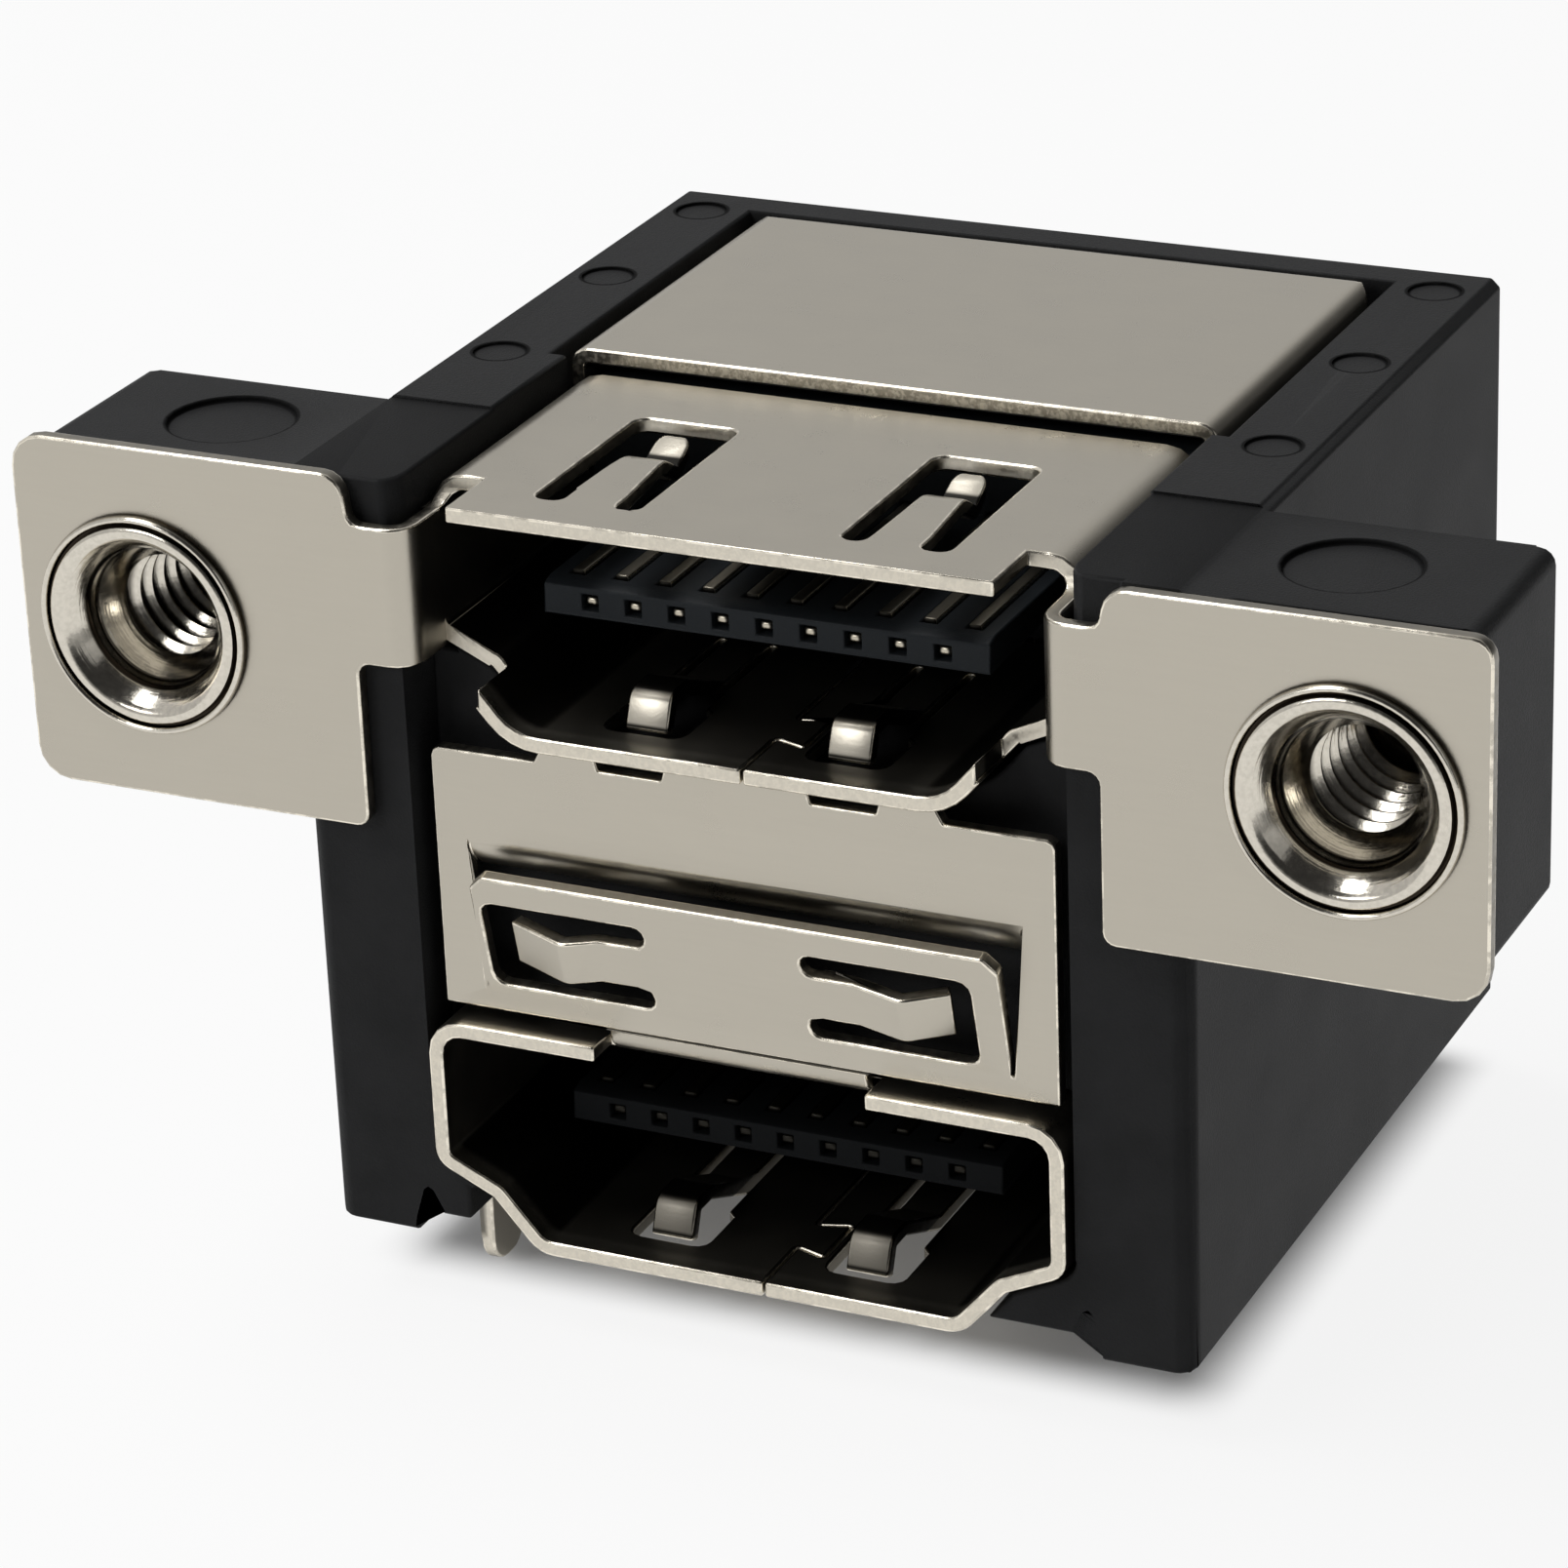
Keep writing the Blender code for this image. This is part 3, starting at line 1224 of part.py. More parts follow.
def tongue_bottom_path(height, centre, drop):
    hook = POCKET_CONTACT_FRONT + POCKET_CONTACT_HOOK
    return [
        (POCKET_CONTACT_FRONT, centre, 0.0),
        (hook, centre, CONTACT_THICKNESS),
        (hook + 0.45 * MM, height, CONTACT_THICKNESS),
        (drop, height, CONTACT_BEND),
        (drop, -CONTACT_TAIL_REACH, 0.0),
    ]


def row_depths():
    """Depths of the four rows of tails: the lower port's two, then the upper port's two."""
    return [FIRST_ROW + i * ROW_PITCH for i in range(4)]


def contacts(material):
    depths = row_depths()
    for label, bottom, under, over in (
        ("lower_port", LOWER_TUBE_BOTTOM, depths[0], depths[1]),
        ("upper_port", UPPER_TUBE_BOTTOM, depths[2], depths[3]),
    ):
        top, low = row_heights(bottom)
        centre = bottom + TONGUE_CENTRE_RISE
        contact_row(f"{label}_top", tongue_top_path(top, over), UPPER_ROW_COUNT, material)
        contact_row(
            f"{label}_bottom", tongue_bottom_path(low, centre, under), LOWER_ROW_COUNT, material
        )


def tail_aligner(material):
    depths = row_depths()
    plate = box(
        "tail_aligner",
        (-CARRIER_HALF_WIDTH, depths[0] - ROW_PITCH / 2 + CARRIER_FIT, ALIGNER_BOTTOM),
        (CARRIER_HALF_WIDTH, depths[-1] + ALIGNER_MARGIN, ALIGNER_BOTTOM + ALIGNER_THICKNESS),
        SOCKET,
    )
    across = CONTACT_WIDTH / 2 + CONTACT_FIT
    along = CONTACT_THICKNESS / 2 + CONTACT_FIT
    counts = (LOWER_ROW_COUNT, UPPER_ROW_COUNT, LOWER_ROW_COUNT, UPPER_ROW_COUNT)
    holes = boxes("tail_holes", [
        ((x - across, depth - along, 0.0), (x + across, depth + along, 2 * ALIGNER_THICKNESS))
        for depth, count in zip(depths, counts)
        for x in row_places(count)
    ])
    cut(plate, holes)
    finish(plate, material)


def main():
    clear_scene()
    nickel = make_material("nickel_plate", (0.45, 0.43, 0.37), 0.32, 1.0)
    bright_nickel = make_material("turned_nickel", (0.6, 0.59, 0.55), 0.2, 1.0)
    black = make_material("black_moulding", (0.016, 0.017, 0.019), 0.55, 0.0)
    blue_black = make_material("tongue_moulding", (0.02, 0.024, 0.028), 0.5, 0.0)
    contact_plate = make_material("contact_plating", (0.62, 0.58, 0.5), 0.25, 1.0)
    depths = row_depths()
    housing(black)
    upper_shell(nickel)
    lower_shell(nickel)
    cap_shield(nickel)
    for name, side in (("threaded_insert_left", -1), ("threaded_insert_right", 1)):
        threaded_insert(name, side, bright_nickel)
    behind = ROW_PITCH / 2
    carrier("lower_contact_carrier", LOWER_TUBE_BOTTOM, depths[0] - behind, blue_black)
    carrier("upper_contact_carrier", UPPER_TUBE_BOTTOM, depths[2] - behind, blue_black)
    contacts(contact_plate)
    tail_aligner(black)


main()
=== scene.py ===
"""Looks of a stacked two-port video socket: folded shells, turned inserts, a black moulding."""
import json
import math

import bmesh
import bpy
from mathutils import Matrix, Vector
from mathutils.bvhtree import BVHTree

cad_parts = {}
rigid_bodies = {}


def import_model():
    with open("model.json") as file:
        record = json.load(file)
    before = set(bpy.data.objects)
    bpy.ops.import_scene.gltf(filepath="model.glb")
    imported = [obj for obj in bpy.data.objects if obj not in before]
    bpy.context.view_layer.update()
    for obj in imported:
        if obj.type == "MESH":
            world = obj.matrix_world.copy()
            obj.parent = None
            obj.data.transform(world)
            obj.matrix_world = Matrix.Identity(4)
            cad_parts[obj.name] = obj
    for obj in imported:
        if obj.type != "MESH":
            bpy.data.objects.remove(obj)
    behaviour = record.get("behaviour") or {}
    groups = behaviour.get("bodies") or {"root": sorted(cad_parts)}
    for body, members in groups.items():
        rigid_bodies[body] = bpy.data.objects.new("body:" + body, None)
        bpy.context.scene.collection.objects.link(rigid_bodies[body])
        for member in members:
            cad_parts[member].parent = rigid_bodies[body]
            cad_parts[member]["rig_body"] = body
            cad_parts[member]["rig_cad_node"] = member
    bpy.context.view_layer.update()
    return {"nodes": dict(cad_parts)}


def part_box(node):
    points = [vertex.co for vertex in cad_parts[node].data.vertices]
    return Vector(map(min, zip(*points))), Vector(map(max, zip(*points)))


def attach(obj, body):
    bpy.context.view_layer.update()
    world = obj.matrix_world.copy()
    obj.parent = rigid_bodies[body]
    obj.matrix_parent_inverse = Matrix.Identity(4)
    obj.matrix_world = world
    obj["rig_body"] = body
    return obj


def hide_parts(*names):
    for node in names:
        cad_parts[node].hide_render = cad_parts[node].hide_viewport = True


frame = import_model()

bl_info = {
    "name": "Stacked video socket",
    "version": (1, 0, 0),
    "blender": (4, 5, 0),
    "location": "3D View > Sidebar > Socket",
    "description": "Builds the visible pieces, finishes and studio of a stacked two-port socket",
    "category": "Object",
}

MM = 0.001

# Solids of the frame that a piece is made from
SHELLS = ("upper_shell", "lower_shell", "cap_shield")
CARRIERS = ("upper_contact_carrier", "lower_contact_carrier")
INSERTS = ("threaded_insert_left", "threaded_insert_right")
CONTACTS = [name for name in frame["nodes"] if "_contact_" in name and name not in CARRIERS]

# Finishes of a shell, and the slots of its sheared faces and rounded edges among them
SHELL_FINISHES = "sheet_finish cut_finish edge_finish"
CUT_SLOT = 1
EDGE_SLOT = 2

# Places and sizes on the socket, in millimetres
SHEET = 0.35
FLANGE_REAR = -9.45
BLOCK_EDGE = 9.9
BLOCK_REAR = -4.8
BETWEEN_PORTS = (8.0, 9.0)
UPPER_TONGUE_HEIGHT = 16.07
TONGUE_HALF_WIDTH = 5.06
TONGUE_REACH = 4.0
TONGUE_SLANT = 0.24
DIMPLE_RADII = (2.35, 3.1)

# Round marks on both halves of the housing: distance from the middle, depth and radius
EJECTOR_MARKS = ((12.6, -6.95, 1.4), (8.95, -1.55, 0.6), (8.95, 3.75, 0.6), (8.95, 8.65, 0.6))
EJECTOR_MARKS_ABOVE = (14.0, 14.5)

# Turned insert, in millimetres
BODY_RADIUS = 2.3
NECK_RADIUS = 2.0
END_RADIUS = 1.9
END_CHAMFER = 0.3
END_WALL = 0.5
CORE_RADIUS = 0.25
NECK_REAR = 0.4
RIM_RADIUS = 2.44
RIM_BACK = -0.03
BEAD_MIDDLE = 2.395
BEAD_HALF_WIDTH = 0.085
BEAD_FOOT = 0.06
THREAD_START = 1.5
THREAD_CREST = 1.12
THREAD_ROOT = 1.45
THREAD_FILL = 0.86
THREAD_CREST_SHARE = 0.14
THREAD_STEPS = 48

# Welding and rounding of the copied solids
WELD_DISTANCE = 0.015 * MM
SLIVER_LENGTH = 0.002 * MM
FLAT_ANGLE = math.radians(1.0)
SHARP_ANGLE = math.radians(32.0)
SMOOTH_ANGLE = math.radians(38.0)
THREAD_SMOOTH_ANGLE = math.radians(30.0)
ROOM_FOR_ROUNDING = 2.6
LEAST_ROUNDING = 0.3
OFF_THE_SURFACE = 0.7
SPARED_REACH = 2.0
ROUNDING_TRIES = 5
DEEPER_THAN_SHEET = 1.3

# Studio, in metres, apart from the camera's place in millimetres and its turns in degrees
FLOOR_SIZE = 1.2
FLOOR_HEIGHT = -0.0002
LAMP_AIM = (0.0, 0.0, 0.01)
LAMPS = (
    ("key", (-0.130, -0.010, 0.285), (0.26, 0.10)),
    ("window", (-0.120, -0.228, 0.165), (0.10, 0.08)),
    ("fill", (0.26, -0.10, 0.16), (0.14, 0.14)),
)
CAMERA_PLACE = (47.927, -106.395, 61.202)
CAMERA_TURNS = (66.11348, 2.13317, 24.74953)

# Dark sides of the room: direction, cosines where each begins and is full, and the light left
DARK_SIDES = (
    ((0.3, -0.62, 0.72), 0.5, 0.85, 0.06),
    ((0.8, 0.55, 0.2), 0.45, 0.85, 0.1),
)


# Settings that a user would change

def length_setting(name, description, default, high, low=0.0):
    """A length; its values are given in millimetres."""
    return bpy.props.FloatProperty(
        name=name,
        description=description,
        default=default * MM,
        min=low * MM,
        max=high * MM,
        precision=6,
        unit="LENGTH",
    )


def colour_setting(name, description, default):
    return bpy.props.FloatVectorProperty(
        name=name, description=description, default=default, min=0.0, max=1.0, subtype="COLOR"
    )


def factor_setting(name, description, default):
    return bpy.props.FloatProperty(
        name=name, description=description, default=default, min=0.0, max=1.0, subtype="FACTOR"
    )


def power_setting(name, description, default):
    return bpy.props.FloatProperty(
        name=name, description=description, default=default, min=0.0, max=5.0, unit="POWER"
    )


class EdgeSettings(bpy.types.PropertyGroup):
    """How far the edges of the pieces are rounded."""

    sheet: length_setting(
        "Sheet edges", "Rounding left by stamping on the edges of the shells", 0.06, 0.15
    )
    moulding: length_setting("Moulded edges", "Rounding on the edges of the housing", 0.09, 0.2)
    tongue: length_setting(
        "Tongue edges", "Rounding on the edges of the contact carriers", 0.05, 0.1
    )
    contact: length_setting("Contact edges", "Rounding on the edges of the contacts", 0.055, 0.08)


class FinishSettings(bpy.types.PropertyGroup):
    """Colours and gloss of the finishes."""

    nickel: colour_setting("Nickel", "Colour of the plated sheet", (0.50, 0.465, 0.395))
    nickel_roughness: factor_setting("Nickel roughness", "How matt the plated sheet is", 0.30)
    turned: colour_setting("Turned metal", "Colour of the turned inserts", (0.66, 0.62, 0.54))
    moulding: colour_setting("Moulding", "Colour of the housing", (0.0225, 0.0228, 0.0235))
    tongue: colour_setting("Tongue", "Colour of the contact carriers", (0.0165, 0.0195, 0.0225))
    plating: colour_setting("Contact plating", "Colour of the contacts", (0.70, 0.64, 0.52))


class ThreadSettings(bpy.types.PropertyGroup):
    """Form of the inserts and of the thread in them."""

    pitch: length_setting(
        "Pitch", "Distance from one turn of the thread to the next", 0.5, 0.8, low=0.2
    )
    turns: bpy.props.IntProperty(
        name="Turns", description="Number of turns that are cut", default=6, min=1, max=6
    )
    sides: bpy.props.IntProperty(
        name="Sides", description="Faces round an insert", default=72, min=24, max=128
    )


class StageSettings(bpy.types.PropertyGroup):
    """Camera, lamps and floor."""

    lens: bpy.props.FloatProperty(
        name="Lens",
        description="Focal length for a sensor 36 mm wide",
        default=132.771,
        min=20.0,
        max=400.0,
        unit="CAMERA",
    )
    key: power_setting("Key lamp", "Power of the large lamp above", 0.50)
    fill: power_setting("Fill lamp", "Power of the lamp beside the camera", 0.02)
    window: power_setting("Window lamp", "Power of the small lamp at the front left", 0.15)
    surroundings: factor_setting("Surroundings", "Brightness of the room", 0.60)


def settings(name):
    return getattr(bpy.context.scene, f"socket_{name}")


# Shader building

class Value:
    """A socket in a shader tree; arithmetic on it adds Math nodes."""

    def __init__(self, tree, socket):
        self.tree = tree
        self.socket = socket

    def math(self, operation, *values):
        node = self.tree.node("ShaderNodeMath", {"operation": operation}, dict(enumerate(values)))
        return Value(self.tree, node.outputs[0])

    def __add__(self, other):
        return self.math("ADD", self, other)

    __radd__ = __add__

    def __sub__(self, other):
        return self.math("SUBTRACT", self, other)

    def __rsub__(self, other):
        return self.math("SUBTRACT", other, self)

    def __mul__(self, other):
        return self.math("MULTIPLY", self, other)

    __rmul__ = __mul__

    def __abs__(self):
        return self.math("ABSOLUTE", self)

    def most(self, other):
        return self.math("MAXIMUM", self, other)

    def root(self):
        return self.math("SQRT", self)

    def fraction(self):
        return self.math("FRACT", self)

    def rise(self, low, high):
        """0 below low, 1 above high, and a smooth step between them."""
        node = self.tree.node(
            "ShaderNodeMapRange",
            {"interpolation_type": "SMOOTHSTEP"},
            {"Value": self, "From Min": low, "From Max": high},
        )
        return Value(self.tree, node.outputs[0])

    def fall(self, low, high):
        """1 below low, 0 above high, and a smooth step between them."""
        return 1.0 - self.rise(low, high)

    def within(self, low, low_full, high_full, high):
        """1 from low_full to high_full, 0 outside low and high, with smooth steps between."""
        return self.rise(low, low_full) * self.fall(high_full, high)


class Tree:
    """The shader tree of a material or world, and the calls that build its nodes."""

    def __init__(self, owner):
        owner.use_nodes = True
        self.nodes = owner.node_tree.nodes
        self.links = owner.node_tree.links
        self.nodes.clear()

    def node(self, kind, choices=None, inputs=None):
        """Adds a node: its choices are set first, then the values or links of its sockets."""
        made = self.nodes.new(kind)
        for key, choice in (choices or {}).items():
            setattr(made, key, choice)
        for key, value in (inputs or {}).items():
            self.feed(made.inputs[key.replace("_", " ") if isinstance(key, str) else key], value)
        return made

    def feed(self, socket, value):
        if isinstance(value, Value):
            value = value.socket
        if isinstance(value, bpy.types.NodeSocket):
            self.links.new(value, socket)
        elif socket.type == "RGBA" and len(value) == 3:
            socket.default_value = (*value, 1.0)
        else:
            socket.default_value = value


class Finish(Tree):
    """One material with a Principled shader."""

    def __init__(self, name, **constants):
        self.material = bpy.data.materials.new(name)
        super().__init__(self.material)
        self.shader = self.node("ShaderNodeBsdfPrincipled", {}, constants)
        self.end = self.node("ShaderNodeOutputMaterial", {}, {"Surface": self.shader.outputs[0]})

    def parts(self, vector):
        split = self.node("ShaderNodeSeparateXYZ", {}, {0: vector})
        return [Value(self, output) for output in split.outputs]

    def joined(self, x, y, z):
        return self.node("ShaderNodeCombineXYZ", {}, {0: x, 1: y, 2: z}).outputs[0]

    def scaled(self, vector, scale):
        choices = {"operation": "SCALE"}
        return self.node("ShaderNodeVectorMath", choices, {0: vector, "Scale": scale}).outputs[0]

    def place(self):
        """Object coordinates in millimetres as three values."""
        self.spot = self.scaled(self.node("ShaderNodeTexCoord").outputs["Object"], 1.0 / MM)
        return self.parts(self.spot)

    def facing(self):
        """The surface's own direction as three values."""
        return self.parts(self.node("ShaderNodeNewGeometry").outputs["Normal"])

    def noise(self, scale, detail=2.0, where=None, roughness=0.5):
        node = self.node(
            "ShaderNodeTexNoise",
            {},
            {
                "Vector": self.spot if where is None else where,
                "Scale": scale,
                "Detail": detail,
                "Roughness": roughness,
            },
        )
        return Value(self, node.outputs["Fac"])

    def blend(self, share, first, second):
        """Colour from first to second as share goes from 0 to 1."""
        node = self.node("ShaderNodeMix", {"data_type": "RGBA"}, {0: share, 6: first, 7: second})
        return node.outputs[2]

    def shades(self, share, colour, first, second):
        """A colour times first to the same colour times second, as share goes from 0 to 1."""
        return self.blend(share, shade(colour, first), shade(colour, second))

    def bump(self, height, distance):
        node = self.node(
            "ShaderNodeBump", {}, {"Height": height, "Distance": distance, "Strength": 1.0}
        )
        self.feed(self.shader.inputs["Normal"], node.outputs[0])

    def feed_shader(self, **values):
        for key, value in values.items():
            self.feed(self.shader.inputs[key.replace("_", " ")], value)


# Finishes; their places are in millimetres

def shade(colour, factor):
    return tuple(part * factor for part in colour)


def distance(across, above):
    """How far a place is from an axis that it lies this far beside and above."""
    return (across * across + above * above).root()


def from_insert(x, z):
    """Distance from the axis of the nearer insert."""
    low, high = (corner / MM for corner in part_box("threaded_insert_right"))
    return distance(abs(x) - (low.x + high.x) / 2, z - (low.z + high.z) / 2)


def port_shade(made, x, y, z):
    """Painted shade in the ports: 1 on walls well inside a port, less on the fingers facing its
    mouth, 0 on the outside.
    """
    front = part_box("upper_shell")[0].y / MM
    depth = abs(x).fall(6.95, 7.05) * y.rise(front + 0.25, front + 0.75)
    facing = abs(made.facing()[1]).rise(0.3, 0.7)
    walls = 0.0
    for node, shown in zip(CARRIERS, (1.0, 0.4)):
        low, high = (corner.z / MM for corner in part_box(node))
        height = z.within(low - 0.05, low + 0.02, high - 0.02, high + 0.03)
        proud = z.rise(low + 0.02, low + 0.1)
        walls = height * (1.0 - facing * proud * shown) + walls
    return depth * walls


def sheet_finish():
    """Plated sheet: fine rolling lines, a soft mottle, dimples, and painted shade on the walls
    inside the ports.
    """
    chosen = settings("finish")
    made = Finish("sheet_finish", Metallic=1.0)
    x, y, z = made.place()
    rolled = made.noise(1.0, 3.0, made.joined(x * 0.6, y * 9.0, z * 9.0))
    mottle = made.noise(0.9, 3.0)
    fine = made.noise(26.0)
    grain = made.noise(7.0, 3.0)
    tone = (mottle - 0.5) * 0.10 + (rolled - 0.5) * 0.05 + 0.5
    plated = made.shades(tone.rise(0.35, 0.65), chosen.nickel, 0.93, 1.07)
    # Painted shade on the walls deep inside the ports
    inside = port_shade(made, x, y, z)
    gloss = (mottle - 0.5) * 0.12 + (fine - 0.5) * 0.06 + inside * 0.2
    made.feed_shader(
        Base_Color=made.blend(inside, plated, shade(chosen.nickel, 0.035)),
        Roughness=chosen.nickel_roughness + gloss,
    )
    on_flange = y.fall(FLANGE_REAR, FLANGE_REAR + 0.1)
    dimple = from_insert(x, z).fall(*DIMPLE_RADII) * on_flange
    made.bump(rolled * 0.12 + fine * 0.12 + grain * 0.1 - dimple * 2.0, 0.016 * MM)
    return made.material


def cut_finish():
    """Sheared edges of the sheet: bare, matt and streaked across its thickness, made brighter by
    painted light where they face the front, darkened by painted shade inside the ports, and darker
    towards the rear.
    """
    chosen = settings("finish")
    made = Finish("cut_finish", Metallic=1.0)
    x, y, z = made.place()
    streaks = made.noise(1.0, 3.0, made.joined(x * 7.0, y * 3.0, z * 5.0))
    specks = made.noise(14.0, 3.0)
    torn = (streaks * 0.6 + specks * 0.4).rise(0.42, 0.6)
    # Painted shade on the walls deep inside the ports
    inside = port_shade(made, x, y, z)
    # Painted light: cut faces that face the front are made brighter
    painted_front_light = abs(made.facing()[1]).rise(0.5, 0.95)
    bright = (0.52 + painted_front_light * 0.93) * (1.0 - inside * 0.93)
    # Darker towards the rear, with the torn streaks left lighter
    rear = y.rise(-2.0, -1.5)
    level = bright * (0.88 + torn * 0.14) * (1.0 - rear * (0.62 - torn * 0.35))
    made.feed_shader(
        Base_Color=made.scaled(tuple(chosen.nickel), level), Roughness=0.34 + torn * 0.14
    )
    made.bump(specks * 0.5 + streaks * 0.5, 0.006 * MM)
    return made.material


def edge_finish():
    """Rounded edges of the sheet: their plating is bright, partly from rubbing and partly as a
    painted highlight, with painted shade inside the ports.
    """
    chosen = settings("finish")
    made = Finish("edge_finish", Metallic=1.0)
    x, y, z = made.place()
    # Painted shade on the walls deep inside the ports
    inside = port_shade(made, x, y, z)
    worn = made.noise(2.2, 4.0, roughness=0.6)
    # Brighter than the sheet: partly rubbing, partly a painted highlight on the rounded edges
    rubbed_and_highlight = made.shades(worn.rise(0.4, 0.6), chosen.nickel, 1.1, 1.8)
    made.feed_shader(
        Base_Color=made.blend(inside, rubbed_and_highlight, shade(chosen.nickel, 0.04)),
        Roughness=0.16 + worn * 0.16,
    )
    return made.material


def turned_finish():
    """Turned and plated metal with fine rings, and painted shade in its grooves, at the foot of its
    rim, on the steps and far down its bore and at the roots of its thread.
    """
    chosen = settings("finish")
    made = Finish("turned_finish", Metallic=1.0)
    x, y, z = made.place()
    radius = from_insert(x, z)
    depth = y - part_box("threaded_insert_right")[0].y / MM
    fine = made.noise(9.0, 3.0)
    rings = made.noise(1.0, 2.0, made.joined(radius * 16.0, depth * 16.0, 0.0))
    # Painted shade: in the groove behind the bead, at the foot of the rim, on the steps of the
    # bore, at the roots of the thread and deep down the bore
    groove = radius.within(2.215, 2.235, 2.32, 2.34) * depth.within(0.05, 0.12, 0.4, 0.6)
    foot = radius.rise(2.43, 2.455) * depth.rise(0.05, 0.11)
    step = radius.within(1.56, 1.575, 1.62, 1.66) * depth.within(0.46, 0.52, 0.62, 0.7)
    hollow = radius.within(1.5, 1.53, 1.57, 1.58) * depth.within(0.72, 0.8, 0.86, 0.9)
    roots = radius.rise(1.2, 1.34) * depth.rise(1.45, 1.5)
    deep = depth.rise(3.4, 4.8)
    dark = groove.most(foot * 0.95).most(step).most(hollow * 0.9)
    dark = dark.most(roots * 0.85).most(deep * 0.8)
    plated = made.shades(fine.rise(0.3, 0.7), chosen.turned, 0.94, 1.05)
    made.feed_shader(
        Base_Color=made.blend(dark, plated, (0.024, 0.019, 0.014)),
        Roughness=0.09 + fine * 0.14,
    )
    made.bump(rings * 0.6 + fine * 0.4, 0.006 * MM)
    return made.material


def housing_finish():
    """Moulded housing: a fine grain, ejector marks, and painted shade in the gaps behind the
    flanges, on the rims of the ejector marks and on the rail tops beside the ears.
    """
    chosen = settings("finish")
    made = Finish("housing_finish", Specular_IOR_Level=0.05)
    x, y, z = made.place()
    grain = made.noise(22.0, 4.0)
    broad = made.noise(0.5)
    flow = made.noise(1.0, 3.0, made.joined(x * 0.8, y * 0.25, z * 0.8))
    tone = broad * 0.6 + flow * 0.4
    # Painted shade in the gap behind each flange, on the sides of the ears
    dark = y.fall(FLANGE_REAR + 0.08, FLANGE_REAR + 0.2) * abs(x).rise(10.9, 11.1)
    # Painted shade on the rims of the ejector marks on top
    for across, back, size in EJECTOR_MARKS:
        rim = abs(distance(abs(x) - across, y - back) - size)
        dark = dark.most(rim.fall(0.03, 0.09) * z.rise(*EJECTOR_MARKS_ABOVE))
    # Painted shade on the tops of the rails beside the ears
    painted_shade_beside_ears = abs(x).fall(BLOCK_EDGE, BLOCK_EDGE + 0.04) * y.fall(BLOCK_REAR, BLOCK_REAR + 0.1)
    upward = made.facing()[2].rise(0.7, 0.9)
    dark = dark.most(painted_shade_beside_ears * upward * 0.42)
    plain = made.shades(tone.rise(0.35, 0.65), chosen.moulding, 0.88, 1.14)
    made.feed_shader(
        Base_Color=made.blend(dark * 0.8, plain, shade(chosen.moulding, 0.1)),
        Roughness=0.46 + (tone - 0.5) * 0.2 + (grain - 0.5) * 0.1 + dark * 0.3,
    )
    made.bump(grain, 0.012 * MM)
    return made.material


def tongue_finish():
    """Smooth moulded tongues; the lower one lies deeper in shade."""
    chosen = settings("finish")
    made = Finish("tongue_finish", Specular_IOR_Level=0.12)
    height = made.place()[2]
    grain = made.noise(30.0, 3.0)
    low = height.fall(*BETWEEN_PORTS)
    plain = made.shades(grain, chosen.tongue, 0.85, 1.2)
    made.feed_shader(
        Base_Color=made.blend(low * 0.75, plain, (0.0, 0.0, 0.0)),
        Roughness=0.38 + (grain - 0.5) * 0.12 + low * 0.3,
    )
    made.bump(grain, 0.006 * MM)
    return made.material


def contact_finish():
    """Plated contacts: painted shade on the tips that face the front, on faces that face up and
    from the lower port down, with a painted highlight spot on each tip of the upper port.
    """
    chosen = settings("finish")
    made = Finish("contact_finish", Metallic=1.0)
    x, y, z = made.place()
    _, frontways, upwards = made.facing()
    fine = made.noise(40.0)
    across = (x + 0.5).fraction() - 0.5
    # Painted highlight: a small round spot in the middle of each upper tip, left out of the painted
    # shade
    spot = distance(across, z - UPPER_TONGUE_HEIGHT).fall(0.05, 0.11) * 0.8
    tip = (frontways * -1.0).rise(0.35, 0.8) * (1.0 - spot)
    # Painted shade on tips that face the front, from the lower port down and on faces that face up
    painted_contact_shade = (tip * 0.97).most(z.fall(*BETWEEN_PORTS) * 0.93).most(upwards.rise(0.5, 0.9) * 0.65)
    plated = made.shades(fine, chosen.plating, 0.88, 1.06)
    made.feed_shader(
        Base_Color=made.blend(painted_contact_shade, plated, (0.004, 0.004, 0.004)),
        Roughness=0.2 + fine * 0.12 + painted_contact_shade * 0.2,
    )
    made.bump(fine, 0.002 * MM)
    return made.material


FINISHES = {
    maker.__name__: maker
    for maker in (
        sheet_finish,
        cut_finish,
        edge_finish,
        turned_finish,
        housing_finish,
        tongue_finish,
        contact_finish,
    )
}


def finish_called(name):
    return bpy.data.materials.get(name) or FINISHES[name]()


# Modelling by hand

def pick(*items):
    """Selects these objects and nothing else; the last one is active."""
    bpy.ops.object.select_all(action="DESELECT")
    for item in items:
        item.select_set(True)
    bpy.context.view_layer.objects.active = items[-1]


def lifted_copy(node, name):
    """A welded copy of a solid, with its loose triangles joined into whole faces."""
    source = frame["nodes"][node]
    pick(source)
    bpy.ops.object.duplicate()
    piece = bpy.context.active_object
    piece.name = name
    piece.data.name = name
    bpy.ops.object.parent_clear(type="CLEAR")
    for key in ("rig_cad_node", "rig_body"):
        if key in piece:
            del piece[key]
    bpy.ops.object.mode_set(mode="EDIT")
    bpy.ops.mesh.select_all(action="SELECT")
    bpy.ops.mesh.remove_doubles(threshold=WELD_DISTANCE)
    bpy.ops.mesh.dissolve_degenerate(threshold=SLIVER_LENGTH)
    bpy.ops.mesh.dissolve_limited(angle_limit=FLAT_ANGLE)
    bpy.ops.object.mode_set(mode="OBJECT")
    return piece


